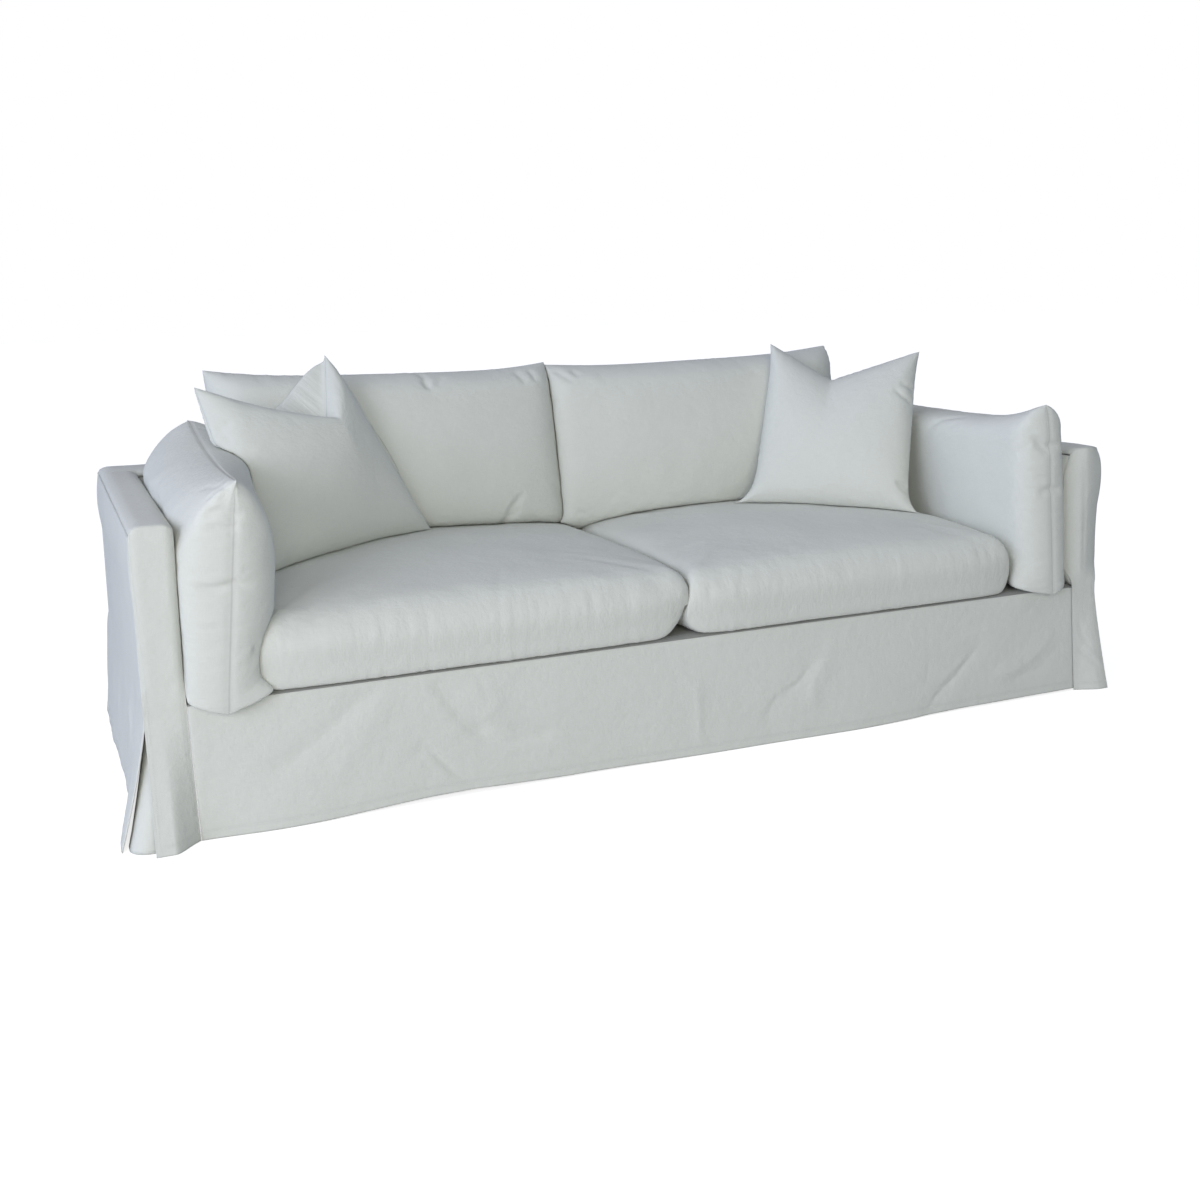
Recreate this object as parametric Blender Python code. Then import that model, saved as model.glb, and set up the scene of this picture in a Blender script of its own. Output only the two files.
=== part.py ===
"""A slipcover for a long sofa, with the covered cushions that lie in it.

Metres, +Z up. The origin is on the floor under the middle of the cover. The seat faces -Y and
its length runs along X. The cover is a hollow shell of linen panels, open at the hem, and each
cushion is one filled body. Left and right are those of someone who looks at the front.
"""

import math
from collections import namedtuple

import bpy
from mathutils import Vector
from mathutils.bvhtree import BVHTree

CLOTH = 0.002  # thickness of the linen
GAP = 0.0003  # between two pieces that touch

WIDTH = 2.440  # over both arms
DEPTH = 1.103
ARM_WIDTH = 0.088
BACK_WIDTH = 0.150
TOP_EDGE = 0.645  # height of the seam round the arms and back
TOP_CROWN = 0.018  # how far the top bands swell above that seam
TOP_ROUND = 0.030  # how soon they reach it
DECK = 0.294  # height of the platform under the seat cushions
DECK_FALL = 0.004  # how far its front edge rounds off
SLIT = 0.268  # height at which the corner pleats open
HEM = 0.001  # height of the lowest edges

SIDE_X = WIDTH / 2
FRONT_Y = -DEPTH / 2
BACK_Y = DEPTH / 2
INNER_X = SIDE_X - ARM_WIDTH
INNER_Y = BACK_Y - BACK_WIDTH

LINEN = (0.70, 0.71, 0.70, 1.0)
LINEN_SHADE = (0.62, 0.64, 0.65, 1.0)

# How far each hem stands out from its panel's plane, at the left and right arm.
Flare = namedtuple("Flare", "front_outer front_inner side_front side_middle side_rear rear")
FLARES = {
    -1: Flare(0.060, 0.006, 0.062, 0.022, 0.018, 0.040),
    1: Flare(0.030, 0.004, 0.044, 0.022, 0.018, 0.040),
}
PLEAT_OUT = {-1: (0.053, 0.040), 1: (0.028, 0.016)}  # at the hem, along X and Y
REAR_PLEAT_OUT = (0.006, 0.026)
PLEAT_LEG, PLEAT_RADIUS = 0.066, 0.040
PLEAT_TAIL = 0.025  # how far the pleat goes up behind the panels above its slit
PLEAT_DEPTH = 0.005  # how far behind the hems it hangs
CALM = 0.05  # the skirt is flat this near to its seams
WAIST, WAIST_FALL, WAIST_REACH = 0.010, 0.20, 0.70  # how far the arm's outer side is drawn in, over
# what height it starts, and how far back from the front it goes
SWELLING, SWELLING_FOOT = 0.007, 0.50  # the bulge under the arm's top seam, and where it starts
FLARE_REACH = 0.45  # the part of an arm's length over which its front and rear flares fade
SPRING = 0.4  # how suddenly the rear flare starts: 1 is a straight line down to the hem
RIPPLE, RIPPLES = 0.002, 9.0  # the side hem's small waves, and how many radians of them
SWAY, SWAYS = 0.25, 5.0  # how much of the rear flare comes and goes, and radians of it in a metre
SEAM_SLANT = 0.010  # the seam between skirt and arm leans this far to the right by the hem

# Soft folds of the front skirt: from (x, z) to (x, z), half width, and height towards the viewer.
Fold = namedtuple("Fold", "x0 z0 x1 z1 spread rise")
SKIRT_FOLDS = (
    Fold(-0.55, 0.290, -0.47, 0.190, 0.030, 0.009),
    Fold(-0.61, 0.255, -0.52, 0.155, 0.026, -0.009),
    Fold(-0.52, 0.155, -0.37, 0.120, 0.024, -0.006),
    Fold(-0.65, 0.120, -0.53, 0.010, 0.024, -0.008),
    Fold(-0.78, 0.250, -0.96, 0.130, 0.032, -0.007),
    Fold(-0.72, 0.220, -0.90, 0.090, 0.034, 0.006),
    Fold(0.00, 0.160, 0.03, 0.020, 0.020, 0.005),
    Fold(0.26, 0.160, 0.16, 0.040, 0.024, -0.006),
    Fold(0.40, 0.190, 0.21, 0.090, 0.026, 0.005),
    Fold(0.83, 0.130, 0.67, 0.010, 0.026, -0.006),
)

# The front skirt's hem: how far it stands out and how far it is lifted off the floor.
HemRow = namedtuple("HemRow", "x out lift")
SKIRT_HEM = (
    HemRow(-1.13, 0.006, 0.000),
    HemRow(-0.95, 0.018, 0.000),
    HemRow(-0.60, 0.004, 0.010),
    HemRow(-0.30, 0.004, 0.004),
    HemRow(0.10, 0.010, 0.000),
    HemRow(0.45, 0.020, 0.000),
    HemRow(0.80, 0.006, 0.005),
    HemRow(1.15, 0.004, 0.006),
)


def clear_scene():
    for thing in list(bpy.data.objects):
        bpy.data.objects.remove(thing, do_unlink=True)


def linen(name, colour):
    material = bpy.data.materials.new(name)
    material.use_nodes = True
    shader = material.node_tree.nodes["Principled BSDF"]
    shader.inputs["Base Color"].default_value = colour
    shader.inputs["Roughness"].default_value = 0.9
    shader.inputs["Metallic"].default_value = 0.0
    return material


def smoothstep(t):
    t = min(max(t, 0.0), 1.0)
    return t * t * (3 - 2 * t)


def mix(a, b, t):
    return a + (b - a) * t


def add_object(name, points, faces, colour):
    mesh = bpy.data.meshes.new(name)
    mesh.from_pydata([tuple(point) for point in points], [], faces)
    mesh.validate()
    mesh.shade_smooth()
    mesh.materials.append(linen(name, colour))
    thing = bpy.data.objects.new(name, mesh)
    bpy.context.scene.collection.objects.link(thing)
    return thing


def panel(name, surface, across, up, colour=LINEN):
    """A sheet whose outer face is surface(s, t), where s runs to the right and t upwards as it is
    seen from outside. Its thickness goes inwards."""
    points = [surface(i / across, j / up) for j in range(up + 1) for i in range(across + 1)]
    row = across + 1
    faces = [
        (j * row + i, j * row + i + 1, (j + 1) * row + i + 1, (j + 1) * row + i)
        for j in range(up)
        for i in range(across)
    ]
    thing = add_object(name, points, faces, colour)
    solid = thing.modifiers.new("Cloth thickness", "SOLIDIFY")
    solid.thickness = CLOTH
    solid.offset = -1
    solid.use_even_offset = True
    return thing


# The cover: top bands, arms, back, deck and skirt


def top_height(x, y):
    """The top band's outer face: a low rounded ridge that runs round the arms and the back."""
    outer = min(SIDE_X - abs(x), BACK_Y - y)
    if abs(x) < INNER_X:
        inner = y - INNER_Y
    elif y < INNER_Y:
        inner = abs(x) - INNER_X
    else:
        inner = math.hypot(abs(x) - INNER_X, y - INNER_Y)
    reach = min(max(min(outer, inner), 0.0) / TOP_ROUND, 1.0)
    return TOP_EDGE + TOP_CROWN * math.sqrt(1 - (1 - reach) ** 2)


def drop(z):
    """0 at the top of the pleats and 1 at the hem."""
    return max(0.0, (SLIT - z) / SLIT) ** 1.2


def level(t, top):
    """Heights for rows of a panel: evenly up to the slits at t = 0.6, then up to its top."""
    if t <= 0.6:
        return mix(HEM, SLIT, t / 0.6)
    return mix(SLIT, top, (t - 0.6) / 0.4)


def side_x(z, y=FRONT_Y):
    """The outer side of an arm: it swells below its top, and is drawn in further down in front."""
    above = min(max((z - SWELLING_FOOT) / (TOP_EDGE - SWELLING_FOOT), 0.0), 1.0)
    below = smoothstep((TOP_EDGE - ARM_WIDTH / 2 - z) / WAIST_FALL)
    waist = WAIST * below * smoothstep(1 - (y - FRONT_Y) / WAIST_REACH)
    return SIDE_X + SWELLING * math.sin(math.pi * above) - waist


def seam_x(side, z):
    """The seam between an arm's front and the skirt."""
    return side * INNER_X + SEAM_SLANT * max(0.0, 1 - z / (DECK - 2 * DECK_FALL))


def crowded(t):
    """0 to 1, with the steps crowded towards both ends."""
    return (1 - math.cos(math.pi * t)) / 2


def arm_front(side):
    flare = FLARES[side]

    def surface(s, t):
        inwards = 1 - s if side > 0 else s
        reach = min(min(s, 1 - s) * ARM_WIDTH / TOP_ROUND, 1.0)
        z = level(t, TOP_EDGE + TOP_CROWN * math.sqrt(1 - (1 - reach) ** 2))
        x = mix(side * side_x(z), seam_x(side, z) + side * GAP, inwards)
        width = smoothstep((1 - inwards) * 2.2)
        return Vector((x, FRONT_Y - drop(z) * mix(flare.front_inner, flare.front_outer, width), z))

    name = "arm_front_" + ("left" if side < 0 else "right")
    return panel(name, surface, 6, 10)


def arm_top(side):
    def surface(s, t):
        x = side * SIDE_X + ARM_WIDTH * (crowded(s) - (side > 0))
        y = mix(FRONT_Y + CLOTH + GAP, INNER_Y - GAP, t)
        return Vector((x, y, top_height(x, y)))

    return panel("arm_top_" + ("left" if side < 0 else "right"), surface, 8, 4)


def back_top():
    over_arm = [mix(-SIDE_X, -INNER_X, crowded(i / 4)) for i in range(5)]
    over_back = [mix(-INNER_X, INNER_X, i / 10) for i in range(1, 10)]
    columns = over_arm + over_back + [-x for x in reversed(over_arm)]

    def surface(s, t):
        x = columns[round(s * (len(columns) - 1))]
        y = mix(INNER_Y, BACK_Y, crowded(t))
        return Vector((x, y, top_height(x, y)))

    return panel("back_top", surface, len(columns) - 1, 6)


def side_flare(side, y, z):
    """How far the outside of an arm stands out. At the rear it springs out just below the slit."""
    flare = FLARES[side]
    along = (y - FRONT_Y) / DEPTH
    front = flare.side_front * smoothstep(1 - along / FLARE_REACH) * drop(z)
    rear = flare.side_rear * smoothstep(1 - (1 - along) / FLARE_REACH) * drop(z) ** SPRING
    ripple = RIPPLE * math.sin(RIPPLES * along)
    return max(front, rear, flare.side_middle * drop(z)) + ripple * drop(z)


def outside_arm(side):
    def surface(s, t):
        along = s if side > 0 else 1 - s
        y = mix(FRONT_Y + CLOTH + GAP, BACK_Y - CLOTH - GAP, along)
        z = level(t, TOP_EDGE - CLOTH - GAP)
        return Vector((side * (side_x(z, y) + side_flare(side, y, z)), y, z))

    return panel("outside_arm_" + ("left" if side < 0 else "right"), surface, 10, 10)


def outside_back():
    def surface(s, t):
        z = level(t, TOP_EDGE - CLOTH - GAP)
        x = side_x(z, BACK_Y) * mix(1, -1, s)
        sway = 1 - SWAY + SWAY * math.cos(SWAYS * x)
        return Vector((x, BACK_Y + drop(z) * FLARES[1].rear * sway, z))

    return panel("outside_back", surface, 12, 10)


def inside_arm(side):
    def surface(s, t):
        along = 1 - s if side > 0 else s
        y = mix(FRONT_Y + CLOTH + GAP, INNER_Y - GAP, along)
        z = mix(DECK - CLOTH, TOP_EDGE - CLOTH - GAP, t)
        return Vector((side * INNER_X, y, z))

    return panel("inside_arm_" + ("left" if side < 0 else "right"), surface, 4, 3)


def inside_back():
    def surface(s, t):
        x = mix(-INNER_X, INNER_X, s)
        return Vector((x, INNER_Y, mix(DECK - CLOTH, TOP_EDGE - CLOTH - GAP, t)))

    return panel("inside_back", surface, 6, 3)


def deck():
    edge = INNER_X - GAP

    def surface(s, t):
        y = mix(FRONT_Y, INNER_Y - GAP, t ** 2)
        fall = DECK_FALL * max(0.0, 1 - (y - FRONT_Y) / (5 * DECK_FALL)) ** 2
        return Vector((mix(-edge, edge, s), y, DECK - fall))

    return panel("deck", surface, 6, 6)


def fold_height(fold, x, z):
    run = Vector((fold.x1 - fold.x0, fold.z1 - fold.z0))
    away = Vector((x - fold.x0, z - fold.z0))
    along = min(max(away.dot(run) / run.length_squared, 0.0), 1.0)
    distance = (away - run * along).length
    return fold.rise * math.exp(-((distance / fold.spread) ** 2))


def skirt_hem(x):
    for before, after in zip(SKIRT_HEM, SKIRT_HEM[1:]):
        if x <= after.x:
            break
    t = smoothstep((x - before.x) / (after.x - before.x))
    return mix(before.out, after.out, t), mix(before.lift, after.lift, t)


def front_skirt():
    high = DECK - DECK_FALL - CLOTH - GAP

    def surface(s, t):
        out, lift = skirt_hem(mix(-INNER_X, INNER_X, s))
        z = mix(HEM + lift, high, t)
        left = seam_x(-1, z) + GAP
        right = seam_x(1, z) - GAP
        x = mix(left, right, s)
        folds = sum(fold_height(fold, x, z) for fold in SKIRT_FOLDS)
        calm = smoothstep((high - z) / CALM) * smoothstep(min(x - left, right - x) / CALM)
        return Vector((x, FRONT_Y - out * drop(z) - folds * calm, z))

    return panel("front_skirt", surface, 44, 6)


def corner_path(turn, leg, radius):
    """Distances in from a corner along its two sides, for turn from -1 to 1 round it."""
    bend = radius / leg
    if turn < -bend:
        return 0.0, -turn * leg
    if turn > bend:
        return turn * leg, 0.0
    angle = math.radians(45 * (turn / bend + 1))
    return radius * (1 - math.cos(angle)), radius * (1 - math.sin(angle))


def corner_pleat(side, rear):
    """The strip behind a slit corner, which shows where the two hems stand apart."""
    end = 1 if rear else -1
    side_first = (side < 0) != rear
    out_x, out_y = REAR_PLEAT_OUT if rear else PLEAT_OUT[side]
    tail = 0.25

    def surface(s, t):
        z = mix(HEM, SLIT, min(t / (1 - tail), 1.0)) + PLEAT_TAIL * max(t + tail - 1, 0.0) / tail
        behind = CLOTH + GAP + PLEAT_DEPTH * smoothstep(6 * drop(z))
        x = side_x(z, end * BACK_Y) - behind + drop(z) * out_x
        y = BACK_Y - behind + drop(z) * out_y
        turn = 2 * s - 1 if side_first else 1 - 2 * s
        in_x, in_y = corner_path(turn, PLEAT_LEG, PLEAT_RADIUS)
        return Vector((side * (x - in_x), end * (y - in_y), z))

    name = "pleat_" + ("rear_" if rear else "front_") + ("left" if side < 0 else "right")
    return panel(name, surface, 10, 8, LINEN_SHADE)


# The cushions

# pull: how far the middle of each edge is drawn in, as a part of the half size. A face of the
# cushion rises over reach (a part of the half size) to its wall, and puff is the crown on top.
Pull = namedtuple("Pull", "left right low high")
Face = namedtuple("Face", "wall reach puff")
RINGS = (0.0, 0.10, 0.42, 1.0)  # where the rows next to a seam lie, as parts of its reach
COLUMNS, ROWS = 12, 10
FULLNESS = 0.62  # of a crown: 1 is a parabola, and lower is flatter on top


def spaced(i, count, reach):
    """-1 to 1 in count steps, of which three at each end are crowded into the reach."""
    rings = len(RINGS) - 1
    if i <= rings:
        return RINGS[i] * reach - 1
    if i >= count - rings:
        return 1 - RINGS[count - i] * reach
    return mix(reach - 1, 1 - reach, (i - rings) / (count - 2 * rings))


def rise(t, reach):
    """0 at the seam and 1 from its reach inwards, along a quarter circle."""
    return math.sqrt(1 - (1 - min((1 - abs(t)) / reach, 1.0)) ** 2)


def swell(u, v, face):
    crown = (max(0.0, 1 - u * u) * max(0.0, 1 - v * v)) ** FULLNESS
    return face.wall * rise(u, face.reach) * rise(v, face.reach) + face.puff * crown


def drawn_in(u, v, pull):
    """A point of the square with the middles of its edges drawn in, so that its corners stand out."""
    across = (pull.right if u > 0 else pull.left) * (1 - v * v) * abs(u) ** 3
    along = (pull.high if v > 0 else pull.low) * (1 - u * u) * abs(v) ** 3
    return u - math.copysign(across, u), v - math.copysign(along, v)


def pillow(name, pull, front, rear, place):
    """A filled body of two panels that meet in one seam. place(u, v, h) gives the point that lies
    h in front of the seam's surface, where u and v run from -1 to 1."""

    def point(i, j, face, way):
        u = spaced(i, COLUMNS, face.reach)
        v = spaced(j, ROWS, face.reach)
        if i in (0, COLUMNS) or j in (0, ROWS):
            u, v = spaced(i, COLUMNS, front.reach), spaced(j, ROWS, front.reach)
        return place(*drawn_in(u, v, pull), way * swell(u, v, face))

    index, points, faces = {}, [], []
    for way, face in ((1, front), (-1, rear)):
        for j in range(ROWS + 1):
            for i in range(COLUMNS + 1):
                on_seam = i in (0, COLUMNS) or j in (0, ROWS)
                if (i, j, 0) in index and on_seam:
                    continue
                index[i, j, 0 if on_seam else way] = len(points)
                points.append(point(i, j, face, way))
        for j in range(ROWS):
            for i in range(COLUMNS):
                ring = ((i, j), (i + 1, j), (i + 1, j + 1), (i, j + 1))
                corners = [index.get((*spot, way), index.get((*spot, 0))) for spot in ring]
                if (2 * i < COLUMNS) != (2 * j < ROWS):
                    corners = corners[1:] + corners[:1]
                faces.append(corners[:3][::way])
                faces.append((corners[2:] + corners[:1])[::way])
    return add_object(name, points, faces, LINEN)


def is_inside(tree, spot):
    """Whether a ray from spot leaves the closed body an odd number of times."""
    heading = Vector((0.31, 0.52, 0.79)).normalized()
    crossings, start = 0, spot
    while True:
        hit = tree.ray_cast(start, heading)[0]
        if hit is None:
            return crossings % 2 == 1
        crossings += 1
        start = hit + heading * 1e-5


def swollen(piece, clearance):
    """The piece as a search tree, larger by the clearance, and its faces' normals."""
    corners = [vertex.co + vertex.normal * clearance for vertex in piece.data.vertices]
    faces = [tuple(face.vertices) for face in piece.data.polygons]
    return BVHTree.FromPolygons(corners, faces), [face.normal for face in piece.data.polygons]


def press(soft, firm_pieces, clearance=0.0006, step=0.0005, rounds=200):
    """Lets a soft piece give way where it would run into the firmer ones."""
    vertices = soft.data.vertices
    faces = [tuple(face.vertices) for face in soft.data.polygons]
    firm = [swollen(piece, clearance) for piece in firm_pieces]
    for _ in range(rounds):
        for tree, _ in firm:
            for vertex in vertices:
                if is_inside(tree, vertex.co):
                    vertex.co = tree.find_nearest(vertex.co)[0]
        shifts = {}
        for tree, normals in firm:
            own = BVHTree.FromPolygons([vertex.co for vertex in vertices], faces)
            for mine, other in own.overlap(tree):
                for corner in faces[mine]:
                    shifts[corner] = normals[other]
        for corner, away in shifts.items():
            vertices[corner].co += away * step
        if not shifts:
            break
    soft.data.update()


# Seat cushions

SEAT_SEAM_Z = 0.338
SEAT_FRONT_Y = FRONT_Y - 0.006
SEAT_REAR_Y = INNER_Y - 0.012
SEAT_ENDS = {"left": (-0.966, -0.0165), "right": (-0.0155, 0.932)}
SEAT_PULL = Pull(0.006, 0.006, 0.004, 0.01)
SEAT_TOP = Face(0.094, 0.13, 0.060)
SEAT_UNDERSIDE = Face(SEAT_SEAM_Z - DECK - GAP, 0.035, 0.0)


def seat_cushion(which):
    x0, x1 = SEAT_ENDS[which]
    half_x, half_y = (x1 - x0) / 2, (SEAT_REAR_Y - SEAT_FRONT_Y) / 2

    def place(u, v, h):
        x = (x0 + x1) / 2 + u * half_x
        y = (SEAT_FRONT_Y + SEAT_REAR_Y) / 2 + v * half_y
        return Vector((x, y, SEAT_SEAM_Z + h))

    return pillow("seat_cushion_" + which, SEAT_PULL, SEAT_TOP, SEAT_UNDERSIDE, place)


# Arm cushions: they stand on the platform between the arm and the seat cushions.

# The seam's plane leans towards the seat at its top. ear: heights of the top corners. toe: height
# of the lower front corner, which hangs over the edge of the platform.
ArmRow = namedtuple("ArmRow", "seam_low_x seam_high_x ear_front ear_rear toe")
ARM_ROWS = {
    "left": ArmRow(1.052, 1.012, 0.746, 0.796, 0.268),
    "right": ArmRow(1.040, 1.016, 0.786, 0.800, 0.282),
}
ARM_FRONT_Y = FRONT_Y - 0.036
ARM_REAR_Y = 0.335
ARM_TOE = 0.012  # the part of its length that hangs over the edge
ARM_PULLS = {"left": Pull(0.004, 0.020, 0.0, 0.10), "right": Pull(0.020, 0.004, 0.0, 0.15)}
ARM_SEAT_SIDE = Face(0.076, 0.14, 0.022)
ARM_OUTER_SIDE = Face(0.080, 0.30, 0.036)


def arm_cushion(which):
    side = -1 if which == "left" else 1
    row = ARM_ROWS[which]

    def place(u, v, h):
        along = (u + 1) / 2 if side < 0 else (1 - u) / 2
        y = mix(ARM_FRONT_Y, ARM_REAR_Y, along)
        low = mix(row.toe, DECK + GAP, smoothstep(along / ARM_TOE))
        z = mix(low, mix(row.ear_front, row.ear_rear, along), (v + 1) / 2)
        seam = mix(row.seam_low_x, row.seam_high_x, (z - DECK) / (row.ear_front - DECK))
        x = min(seam - h, INNER_X - GAP)
        return Vector((side * x, y, z))

    return pillow("arm_cushion_" + which, ARM_PULLS[which], ARM_SEAT_SIDE, ARM_OUTER_SIDE, place)


# Back cushions: they stand on the seat cushions and lean on the inside back.

BackRow = namedtuple("BackRow", "x0 x1 high_left high_right pull")
BACK_ROWS = {
    "left": BackRow(-0.972, -0.0555, 0.922, 0.905, Pull(0.03, 0.0, 0.02, 0.10)),
    "right": BackRow(-0.0545, 0.866, 0.905, 0.922, Pull(0.0, 0.03, 0.02, 0.10)),
}
BACK_FOOT = 0.448
BACK_LOW_Y, BACK_HIGH_Y = 0.232, 0.296
BACK_FRONT = Face(0.078, 0.20, 0.086)
BACK_REAR = Face(0.060, 0.20, 0.050)


def back_cushion(which):
    row = BACK_ROWS[which]

    def place(u, v, h):
        across, up = (u + 1) / 2, (v + 1) / 2
        high = mix(row.high_left, row.high_right, across)
        lean = math.atan2(BACK_HIGH_Y - BACK_LOW_Y, high - BACK_FOOT)
        y = mix(BACK_LOW_Y, BACK_HIGH_Y, up) - h * math.cos(lean)
        z = mix(BACK_FOOT, high, up) + h * math.sin(lean)
        return Vector((mix(row.x0, row.x1, across), min(y, INNER_Y - GAP), z))

    return pillow("back_cushion_" + which, row.pull, BACK_FRONT, BACK_REAR, place)


# Scatter cushions: square, leaning in the two corners, each with its top edge struck in.

ScatterRow = namedtuple("ScatterRow", "low_left low_right high_right high_left dip dip_at")
SCATTER_ROWS = {
    "left": ScatterRow(
        Vector((-0.880, -0.190, 0.461)),
        Vector((-0.440, 0.110, 0.484)),
        Vector((-0.682, 0.170, 0.952)),
        Vector((-1.020, 0.010, 0.896)),
        Vector((-0.700, 0.040, 0.800)),
        0.28,
    ),
    "right": ScatterRow(
        Vector((0.450, 0.060, 0.486)),
        Vector((0.845, -0.245, 0.460)),
        Vector((0.960, -0.075, 0.909)),
        Vector((0.600, 0.160, 0.936)),
        Vector((0.760, 0.080, 0.822)),
        -0.10,
    ),
}
EAR_CURVE = 1.3  # above 1 the top edge leaves an ear slowly and drops into the dip
DIP_FADE = 2.4  # the higher, the nearer to the top edge the dip stays
SCATTER_PULL = Pull(0.11, 0.11, 0.05, 0.0)
SCATTER_FRONT = Face(0.024, 0.25, 0.072)
SCATTER_REAR = Face(0.020, 0.25, 0.062)


def scatter_cushion(which):
    row = SCATTER_ROWS[which]
    ahead = (row.low_right - row.low_left).cross(row.high_left - row.low_left).normalized()

    def top_edge(u):
        if u < row.dip_at:
            return row.high_left.lerp(row.dip, ((u + 1) / (row.dip_at + 1)) ** EAR_CURVE)
        return row.high_right.lerp(row.dip, ((1 - u) / (1 - row.dip_at)) ** EAR_CURVE)

    def place(u, v, h):
        across, up = (u + 1) / 2, (v + 1) / 2
        straight = row.high_left.lerp(row.high_right, across)
        low = row.low_left.lerp(row.low_right, across)
        struck = (top_edge(u) - straight) * max(up, 0.0) ** DIP_FADE
        return low.lerp(straight, up) + struck + ahead * h

    return pillow("scatter_cushion_" + which, SCATTER_PULL, SCATTER_FRONT, SCATTER_REAR, place)


def main():
    clear_scene()
    for side in (-1, 1):
        arm_front(side)
        arm_top(side)
        outside_arm(side)
        inside_arm(side)
        for rear in (False, True):
            corner_pleat(side, rear)
    for make in (back_top, outside_back, inside_back, deck, front_skirt):
        make()
    names = ("left", "right")
    seats = [seat_cushion(which) for which in names]
    arms = [arm_cushion(which) for which in names]
    for arm, seat in zip(arms, seats):
        press(arm, [seat])
    backs = [back_cushion(which) for which in names]
    for back in backs:
        press(back, seats + arms)
    for scatter in [scatter_cushion(which) for which in names]:
        press(scatter, seats + arms + backs)


main()
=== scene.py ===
import math

import bpy
import numpy as np
from mathutils import Matrix, Vector, noise
from mathutils.bvhtree import BVHTree


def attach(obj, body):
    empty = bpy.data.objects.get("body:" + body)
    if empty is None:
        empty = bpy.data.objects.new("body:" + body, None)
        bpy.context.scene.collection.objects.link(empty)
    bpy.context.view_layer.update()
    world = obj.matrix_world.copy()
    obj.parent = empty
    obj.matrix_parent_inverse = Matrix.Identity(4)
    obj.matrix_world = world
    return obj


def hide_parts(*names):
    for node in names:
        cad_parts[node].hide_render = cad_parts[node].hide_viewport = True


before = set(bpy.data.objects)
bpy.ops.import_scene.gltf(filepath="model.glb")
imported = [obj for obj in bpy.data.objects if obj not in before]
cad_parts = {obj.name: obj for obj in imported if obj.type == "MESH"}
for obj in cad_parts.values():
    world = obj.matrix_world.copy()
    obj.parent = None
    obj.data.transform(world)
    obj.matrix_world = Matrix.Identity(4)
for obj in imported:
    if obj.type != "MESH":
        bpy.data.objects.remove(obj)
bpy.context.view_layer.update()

# A slipcover for a long sofa and its covered cushions, in metres, facing -Y. Left and right are
# those of someone who looks at the front.

clothThickness = 0.002
gap = 0.0003  # left between pieces that touch


def smoothstep(t):
    t = min(max(t, 0.0), 1.0)
    return t * t * (3 - 2 * t)


def mix(a, b, t):
    return a + (b - a) * t


def putThing(name, data):
    thing = bpy.data.objects.new(name, data)
    bpy.context.scene.collection.objects.link(thing)
    return thing


# Camera, floor and light

cameraSetup = {
    "location": (-1.385, -3.539, 1.129),
    "yaw": 25.157,
    "pitch": 8.266,
    "roll": -1.004,
    "lens": 42.93,
    "shift": (-0.0801, -0.0950),
}


def placeCamera(setup):
    yaw, pitch, roll = (math.radians(setup[key]) for key in ("yaw", "pitch", "roll"))
    ahead = Vector((math.sin(yaw) * math.cos(pitch), math.cos(yaw) * math.cos(pitch), -math.sin(pitch)))
    level = Vector((math.cos(yaw), -math.sin(yaw), 0.0))
    upright = level.cross(ahead)
    right = level * math.cos(roll) + upright * math.sin(roll)
    up = upright * math.cos(roll) - level * math.sin(roll)
    lensData = bpy.data.cameras.new("camera")
    lensData.sensor_width = 36.0
    lensData.lens = setup["lens"]
    lensData.shift_x, lensData.shift_y = setup["shift"]
    lensData.clip_end = 200.0
    camera = putThing("camera", lensData)
    turn = Matrix((right, up, -ahead)).transposed()
    camera.matrix_world = Matrix.Translation(setup["location"]) @ turn.to_4x4()
    bpy.context.scene.camera = camera


studio = {
    "floorSize": 60.0,
    "floorColour": (0.55, 0.55, 0.55, 1.0),
    "floorShown": 0.80,  # added where the floor is looked at, so that it shows as plain white
    # how strongly the room shines from the right, the left, the back and above
    "sky": {
        ("X", 1.0): (0.26, 0.39, 0.57),
        ("X", -1.0): (1.13, 1.31, 1.67),
        ("Y", 1.0): (0.14, 0.06, 0.07),
        ("Z", 1.0): (0.43, 0.42, 0.43),
    },
    # place, size, power and colour of each soft box
    "boxes": [
        ((-4.0, -3.5, 1.5), (2.2, 1.8), 78.5, (0.90, 0.91, 1.0)),
        ((-1.5, -6.0, 2.0), (3.0, 2.5), 113.0, (1.0, 0.97, 0.82)),
    ],
}


def setInputs(tree, node, inputs):  # links sockets and sets plain values, and leaves out what is None
    for name, value in inputs.items():
        if isinstance(value, bpy.types.NodeSocket):
            tree.links.new(value, node.inputs[name])
        elif value is not None:
            node.inputs[name].default_value = value
    return node


def addNode(tree, kind, inputs, **settings):
    node = tree.nodes.new(kind)
    for name, value in settings.items():
        setattr(node, name, value)
    return setInputs(tree, node, inputs)


def rangeNode(tree, value, low, high, toLow=0.0, toHigh=1.0, way="SMOOTHSTEP"):
    inputs = {"Value": value, "From Min": low, "From Max": high, "To Min": toLow, "To Max": toHigh}
    return addNode(tree, "ShaderNodeMapRange", inputs, interpolation_type=way).outputs["Result"]


def mathNode(tree, operation, first, second=None):
    return addNode(tree, "ShaderNodeMath", {0: first, 1: second}, operation=operation).outputs[0]


def mixColours(tree, share, first, second, blend="MIX"):
    inputs = {"Factor": share, "A": first, "B": second}
    return addNode(tree, "ShaderNodeMix", inputs, data_type="RGBA", blend_type=blend).outputs["Result"]


def noiseNode(tree, place, scale, detail=2.0, roughness=0.5):
    inputs = {"Vector": place, "Scale": scale, "Detail": detail, "Roughness": roughness}
    return addNode(tree, "ShaderNodeTexNoise", inputs).outputs["Fac"]


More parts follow.
